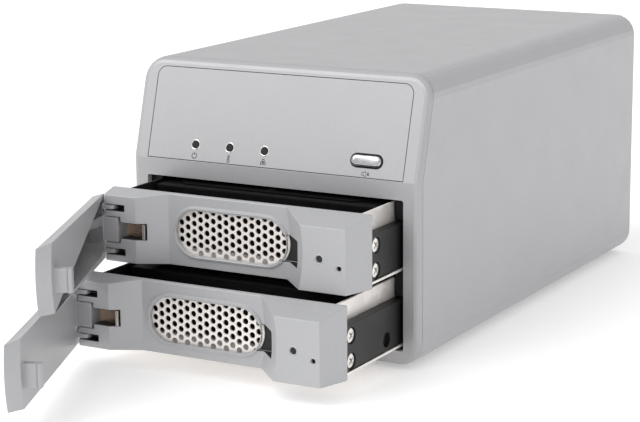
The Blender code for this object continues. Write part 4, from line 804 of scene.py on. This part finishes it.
def make_grille(prefix):
    """Round holes in staggered columns, each with a rounded edge, and a bright bead round all."""
    low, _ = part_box(prefix + "grille")
    place = tray_place(prefix)
    front = low.y - place.translation.y
    reach = (GRILLE_LENGTH - GRILLE_TALL) / 2
    limit = GRILLE_TALL / 2 + GRILLE_LAP - HOLE_MARGIN
    column_step = HOLE_PITCH * math.sqrt(3.0) / 2
    columns = int((reach + limit) / column_step)
    rows = int(limit / HOLE_PITCH) + 1
    holes = []
    for column in range(-columns, columns + 1):
        x = column * column_step
        for row in range(-rows, rows + 1):
            z = (row + (0.5 if column % 2 else 0.0)) * HOLE_PITCH
            if math.hypot(max(0.0, abs(x) - reach), z) <= limit:
                holes.append(circle(GRILLE_X + x, GRILLE_HEIGHT + z, HOLE_RADIUS, HOLE_SIDES))
    edge = capsule(GRILLE_X, GRILLE_HEIGHT, GRILLE_LENGTH + 2 * GRILLE_LAP,
                   GRILLE_TALL + 2 * GRILLE_LAP)
    bm = plate([edge, *holes], front, front + GRILLE_THICKNESS, GRILLE_ROUNDING)
    add(prefix + "grille_plate", into(bm, place), GRILLE_PLATE, prefix + "tray",
        (prefix + "grille",))
    bead = capsule(GRILLE_X, GRILLE_HEIGHT, GRILLE_LENGTH + 2 * GRILLE_RIM_MIDDLE,
                   GRILLE_TALL + 2 * GRILLE_RIM_MIDDLE)
    path = [(x, GRILLE_RIM_FRONT + GRILLE_BEAD_SUNK, z) for x, z in bead]
    add(prefix + "grille_bead", into(tube(path, GRILLE_BEAD_RADIUS, True, 12), place), TRAY_PAINT,
        prefix + "tray")


def make_spring(prefix):
    """A bowed bronze strip, with a bright clip over its free end."""
    low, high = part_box(prefix + "leaf_spring")
    steps = 16
    bm = bmesh.new()
    rings = []
    for k in range(steps + 1):
        share = k / steps
        x = low.x + (high.x - low.x) * share
        y = high.y - SPRING_THICKNESS - (high.y - low.y - SPRING_THICKNESS) * share ** 3
        back = y + SPRING_THICKNESS
        corners = ((x, y, low.z), (x, y, high.z), (x, back, high.z), (x, back, low.z))
        rings.append([bm.verts.new(corner) for corner in corners])
    for near, far in zip(rings, rings[1:]):
        for s in range(4):
            t = (s + 1) % 4
            bm.faces.new((near[s], near[t], far[t], far[s]))
    bm.faces.new(rings[0])
    bm.faces.new(rings[-1])
    add(prefix + "spring_strip", bm, BRONZE, prefix + "tray",
        (prefix + "leaf_spring",))
    clip = block((high.x - CLIP_WIDTH, low.y - 0.0005, low.z - 0.0001),
                 (high.x, low.y - 0.0001, high.z + 0.0001), 0.00018)
    add(prefix + "spring_clip", clip, NICKEL, prefix + "tray")


def phillips_head(radius, thickness):
    """A flat head with a cross recess; it faces -Y, and its outer face is at y = 0."""
    crown = CROWN_SHARE * thickness
    profile = [(0.0, thickness), (radius * 0.96, thickness), (radius, thickness * 0.7),
               (radius, crown * 2), (radius - 0.00025, crown), (radius * 0.75, crown * 0.4),
               (radius * 0.4, 0.0), (0.0, 0.0)]
    head = bpy.data.objects.new("head", bpy.data.meshes.new("head"))
    bm = turned(profile, 40)
    bmesh.ops.recalc_face_normals(bm, faces=bm.faces)
    bm.to_mesh(head.data)
    bm.free()
    bpy.context.scene.collection.objects.link(head)
    cutters = []
    reach = CROSS_REACH * radius / RAIL_SCREW_RADIUS
    depth = CROSS_DEPTH * thickness / RAIL_SCREW_THICKNESS
    for wide, tall in ((reach, CROSS_WIDTH / 2), (CROSS_WIDTH / 2, reach)):
        bm = block((-wide, -CUTTER_PROUD, -tall), (wide, depth, tall))
        for vert in bm.verts:
            if vert.co.y > 0:
                vert.co.x *= CROSS_TAPER
                vert.co.z *= CROSS_TAPER
        cutter = bpy.data.objects.new("cross", bpy.data.meshes.new("cross"))
        bm.to_mesh(cutter.data)
        bm.free()
        bpy.context.scene.collection.objects.link(cutter)
        step = head.modifiers.new("cross", "BOOLEAN")
        step.operation = "DIFFERENCE"
        step.object = cutter
        cutters.append(cutter)
    graph = bpy.context.evaluated_depsgraph_get()
    mesh = bpy.data.meshes.new_from_object(head.evaluated_get(graph))
    bm = bmesh.new()
    bm.from_mesh(mesh)
    for extra in (head, *cutters):
        bpy.data.objects.remove(extra, do_unlink=True)
    return bm


def make_rail_screws(prefix):
    """Bright screws at the front of both rails."""
    for name in ("rail_screw_low", "rail_screw_high"):
        low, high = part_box(prefix + name)
        y, z = (low.y + high.y) / 2, (low.z + high.z) / 2
        for side, side_name in ((1, "right"), (-1, "left")):
            head = phillips_head(RAIL_SCREW_RADIUS, RAIL_SCREW_THICKNESS)
            turn = math.radians(RAIL_SCREW_TURN + RAIL_SCREW_TURN_BY_SIDE * side)
            turn = Matrix.Rotation(turn, 4, "Y")
            place = basis((side * high.x, y, z), (0.0, side, 0.0), (0.0, 0.0, 1.0),
                          (-side, 0.0, 0.0))
            stood_for = (prefix + name,) if side > 0 else ()
            add(f"{prefix}{side_name}_{name}_head", into(head, place @ turn), NICKEL,
                prefix + "tray", stood_for)


def make_tray_holes(prefix):
    """Painted eyelets round the lamp and the lock hole, and the lock's black core."""
    place = tray_place(prefix)
    for name, (x, z, radius) in (("lamp", LAMP_HOLE), ("lock", LOCK_HOLE)):
        make_eyelet(f"{prefix}{name}_eyelet", place @ Matrix.Translation((x, EYELET_SUNK, z)),
                    radius, prefix + "tray", TRAY_PAINT)
    core = turned([(0.0, 0.0014), (0.00045, 0.0014), (0.0005, 0.001), (0.0009, 0.001),
                   (0.00095, 0.0012), (0.00095, 0.0023), (0.0, 0.0023)], 24)
    lock = place @ Matrix.Translation((LOCK_HOLE[0], 0.0, LOCK_HOLE[1]))
    add(prefix + "lock_core", into(core, lock), BLACK_STEEL, prefix + "tray")


def make_drive(prefix):
    """A generic 3.5 inch drive, near black as painted shade of the bay: a cast body, a pressed lid,
    a hub cover and screws.
    """
    low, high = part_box(prefix + "hard_drive")
    body = prefix + "tray"
    base = block(low, (high.x, high.y, high.z - LID_RISE), CASTING_ROUNDING)
    add(prefix + "drive_casting", base, CASTING, body, (prefix + "hard_drive",))
    middle = (low.x + high.x) / 2
    left, right = low.x + LID_INSET, high.x - LID_INSET
    outline = [(right, high.y - 0.022), (right - 0.012, high.y - 0.006),
               (left + 0.012, high.y - 0.006), (left, high.y - 0.022),
               (left, low.y + 0.012), (left + 0.008, low.y + 0.004),
               (right - 0.008, low.y + 0.004), (right, low.y + 0.012)]
    facing_up = Matrix(((1, 0, 0, 0), (0, 0, 1, 0), (0, -1, 0, 0), (0, 0, 0, 1)))
    top = Matrix.Translation((0.0, 0.0, high.z)) @ facing_up
    lid = into(plate([outline], 0.0, LID_RISE, LID_ROUNDING), top)
    add(prefix + "drive_lid", lid, LID, body)
    hub = turned([(0.0, -0.0004), (0.0105, -0.0004), (0.0115, -0.0002), (0.0118, 0.0),
                  (0.0, 0.0)], 40)
    place = Matrix.Translation((middle - 0.002, low.y + 0.052, high.z - 0.0004)) @ facing_up
    add(prefix + "drive_hub", into(hub, place), LID, body)
    sides = (high.x - DRIVE_SCREW_INSET, low.x + DRIVE_SCREW_INSET)
    places = [(x, y) for y in (low.y + 0.020, high.y - 0.030) for x in sides]
    places += [(middle, high.y - 0.011), (middle, low.y + 0.009)]
    for index, (x, y) in enumerate(places):
        place = Matrix.Translation((x, y, high.z + DRIVE_SCREW_THICKNESS / 2)) @ facing_up
        head = into(phillips_head(DRIVE_SCREW_RADIUS, DRIVE_SCREW_THICKNESS), place)
        add(f"{prefix}drive_screw_{index}", head, BLACK_STEEL, body)


# ---------------------------------------------------------------- rear
def make_rotor():
    """A hub with a rounded rim and seven cambered, twisted blades."""
    low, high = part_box("fan_rotor")
    axle = RECORD_JOINTS["fan_spin"]["pos_m"]
    depth = high.y - low.y - HUB_SHORTER
    hub = turned([(0.0, 0.0), (FAN_HUB_RADIUS - 0.0015, 0.0), (FAN_HUB_RADIUS - 0.0005, 0.0005),
                  (FAN_HUB_RADIUS, 0.0016), (FAN_HUB_RADIUS, depth), (0.0, depth)], 40)
    parts = [hub]
    across, along = 8, 8
    root = FAN_HUB_RADIUS - BLADE_SUNK
    for index in range(FAN_BLADES):
        bm = bmesh.new()
        grid = []
        for side in (-1, 1):
            for a in range(along + 1):
                out = a / along
                radius = root + (FAN_TIP_RADIUS - FAN_HUB_RADIUS + BLADE_SUNK) * out
                pitch = math.radians(BLADE_PITCH - BLADE_TWIST * out)
                for c in range(across + 1):
                    share = c / across - 0.5
                    chord = share * (BLADE_CHORD + BLADE_FLARE * out)
                    camber = BLADE_CAMBER * (1.0 - 4.0 * share * share)
                    around = chord * math.cos(pitch) + camber * math.sin(pitch)
                    inward = chord * math.sin(pitch) - camber * math.cos(pitch)
                    turn = around / radius + math.tau * index / FAN_BLADES + BLADE_SWEEP * out
                    at = depth / 2 + inward + side * BLADE_HALF_THICKNESS
                    grid.append(bm.verts.new((radius * math.cos(turn), at,
                                              radius * math.sin(turn))))
        row = across + 1
        half = row * (along + 1)
        for sheet in (0, half):
            for a in range(along):
                for c in range(across):
                    k = sheet + a * row + c
                    bm.faces.new([grid[i] for i in (k, k + 1, k + row + 1, k + row)])
        border = (list(range(across)) + [across + a * row for a in range(along)]
                  + [half - 1 - c for c in range(across)]
                  + [(along - a) * row for a in range(along)])
        for k, here in enumerate(border):
            there = border[(k + 1) % len(border)]
            bm.faces.new([grid[i] for i in (here, there, there + half, here + half)])
        parts.append(bm)
    bm = merged(*parts)
    add("fan_impeller", into(bm, Matrix.Translation((axle[0], low.y, axle[2]))), BLACK_PLASTIC,
        "fan_rotor", ("fan_rotor",))


def make_guard():
    """A wire finger guard: rings on two crossed ribs."""
    low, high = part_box("fan_guard")
    x, z = (low.x + high.x) / 2, (low.z + high.z) / 2
    outer = (high.x - low.x) / 2
    y = (low.y + high.y) / 2
    parts = []
    for radius in (*GUARD_RINGS, outer - GUARD_WIRE):
        ring = [math.tau * k / 48 for k in range(48)]
        parts.append(tube([(x + radius * math.cos(a), y, z + radius * math.sin(a)) for a in ring],
                          GUARD_WIRE * 0.8, True, 8))
    for turn in (45.0, 135.0):
        a = math.radians(turn)
        reach = outer - GUARD_WIRE
        ends = [(x - reach * math.cos(a), y + GUARD_WIRE, z - reach * math.sin(a)),
                (x + reach * math.cos(a), y + GUARD_WIRE, z + reach * math.sin(a))]
        parts.append(tube(ends, GUARD_WIRE * 0.9, False, 8))
    add("fan_wire_guard", merged(*parts), NICKEL, "housing", ("fan_guard",))


def make_rear_screws():
    for name in ("lower_left", "upper_left", "lower_right", "upper_right"):
        low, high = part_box(name + "_rear_screw")
        head = phillips_head(RAIL_SCREW_RADIUS, RAIL_SCREW_THICKNESS)
        place = Matrix.Translation(((low.x + high.x) / 2, high.y, (low.z + high.z) / 2))
        place = place @ Matrix.Rotation(math.pi, 4, "Z")
        place = place @ Matrix.Rotation(math.radians(REAR_SCREW_TURN), 4, "Y")
        add(name + "_rear_screw_head", into(head, place), NICKEL, "housing",
            (name + "_rear_screw",))


def make_contacts():
    """Gold springs in the network jack and the data port."""
    low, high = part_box("network_jack")
    x = (low.x + high.x) / 2
    springs = []
    for index in range(JACK_CONTACTS):
        at = x + (index - (JACK_CONTACTS - 1) / 2) * JACK_PITCH
        path = [(at, high.y - 0.002, low.z + 0.0099), (at, high.y - 0.006, low.z + 0.0092),
                (at, high.y - 0.0115, low.z + 0.0064)]
        springs.append(tube(path, 0.0002, False, 6))
    add("network_contacts", merged(*springs), GOLD, "housing")
    low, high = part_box("usb_port")
    x = (low.x + high.x) / 2
    middles = [x + (k - (PORT_CONTACTS - 1) / 2) * PORT_PITCH for k in range(PORT_CONTACTS)]
    pads = [block((at - PORT_CONTACT_HALF, high.y - 0.009, low.z + 0.0042),
                  (at + PORT_CONTACT_HALF, high.y - 0.0016, low.z + 0.0045)) for at in middles]
    add("data_port_contacts", merged(*pads), GOLD, "housing")


def make_feet():
    for name in ("front_left_foot", "front_right_foot", "rear_left_foot", "rear_right_foot"):
        low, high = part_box(name)
        radius, tall = (high.x - low.x) / 2, high.z - low.z
        profile = [(0.0, tall), (radius, tall), (radius, 0.0004), (radius - 0.0003, 0.0),
                   (radius * 0.62, 0.0), (radius * 0.58, 0.0003), (0.0, 0.0003)]
        bm = turned(profile, 40)
        stand = Matrix(((1, 0, 0, (low.x + high.x) / 2), (0, 0, 1, (low.y + high.y) / 2),
                        (0, 1, 0, low.z), (0, 0, 0, 1)))
        add(name + "_pad", into(bm, stand), RUBBER, "housing", (name,))


# ---------------------------------------------------------------- studio
def make_studio():
    floor = bpy.data.objects.new("studio_floor", bpy.data.meshes.new("studio_floor"))
    bm = bmesh.new()
    bmesh.ops.create_grid(bm, x_segments=1, y_segments=1, size=FLOOR_SIZE)
    bm.to_mesh(floor.data)
    bm.free()
    tree = Tree("studio_floor").set(roughness=0.9, specular_ior_level=0.1,
                                    emission_color=(1.0, 1.0, 1.0, 1.0),
                                    emission_strength=FLOOR_GLOW)
    tree.color(tree.noise(3.0, 2.0), (0.90, 0.90, 0.90), (0.92, 0.92, 0.92))
    floor.data.materials.append(tree.material)
    floor.location.z = -FLOOR_DROP
    bpy.context.scene.collection.objects.link(floor)
    world = bpy.data.worlds.new("studio")
    world.use_nodes = True
    world.node_tree.nodes["Background"].inputs["Color"].default_value = (1.0, 1.0, 1.0, 1.0)
    world.node_tree.nodes["Background"].inputs["Strength"].default_value = WORLD_STRENGTH
    bpy.context.scene.world = world
    for name, toward, energy in SUNS:
        data = bpy.data.lights.new(name, "SUN")
        data.energy = energy
        data.angle = SUN_SPREAD
        sun = bpy.data.objects.new(name, data)
        sun.rotation_euler = Vector(toward).to_track_quat("Z", "Y").to_euler()
        bpy.context.scene.collection.objects.link(sun)
    bpy.context.scene.view_settings.view_transform = "Standard"


def make_camera():
    yaw, pitch, roll = CAMERA_YAW, CAMERA_PITCH, CAMERA_ROLL
    forward = Vector((-math.sin(yaw) * math.cos(pitch), math.cos(yaw) * math.cos(pitch),
                      -math.sin(pitch)))
    level = Vector((math.cos(yaw), math.sin(yaw), 0.0))
    upright = level.cross(forward)
    right = level * math.cos(roll) + upright * math.sin(roll)
    up = upright * math.cos(roll) - level * math.sin(roll)
    data = bpy.data.cameras.new("camera")
    data.lens = CAMERA_LENS
    data.sensor_width = SENSOR_WIDTH
    camera = bpy.data.objects.new("camera", data)
    camera.matrix_world = (Matrix.Translation(CAMERA_PLACE)
                           @ Matrix((right, up, -forward)).transposed().to_4x4())
    bpy.context.scene.collection.objects.link(camera)
    bpy.context.scene.camera = camera


# ---------------------------------------------------------------- build
def build():
    finish_nodes()
    make_fascia_details()
    make_panel()
    make_button()
    for prefix in TRAYS:
        make_grille(prefix)
        make_spring(prefix)
        make_rail_screws(prefix)
        make_tray_holes(prefix)
        make_painted_shade(prefix)
        make_drive(prefix)
    make_rotor()
    make_guard()
    make_rear_screws()
    make_contacts()
    make_feet()
    make_studio()
    make_camera()


build()
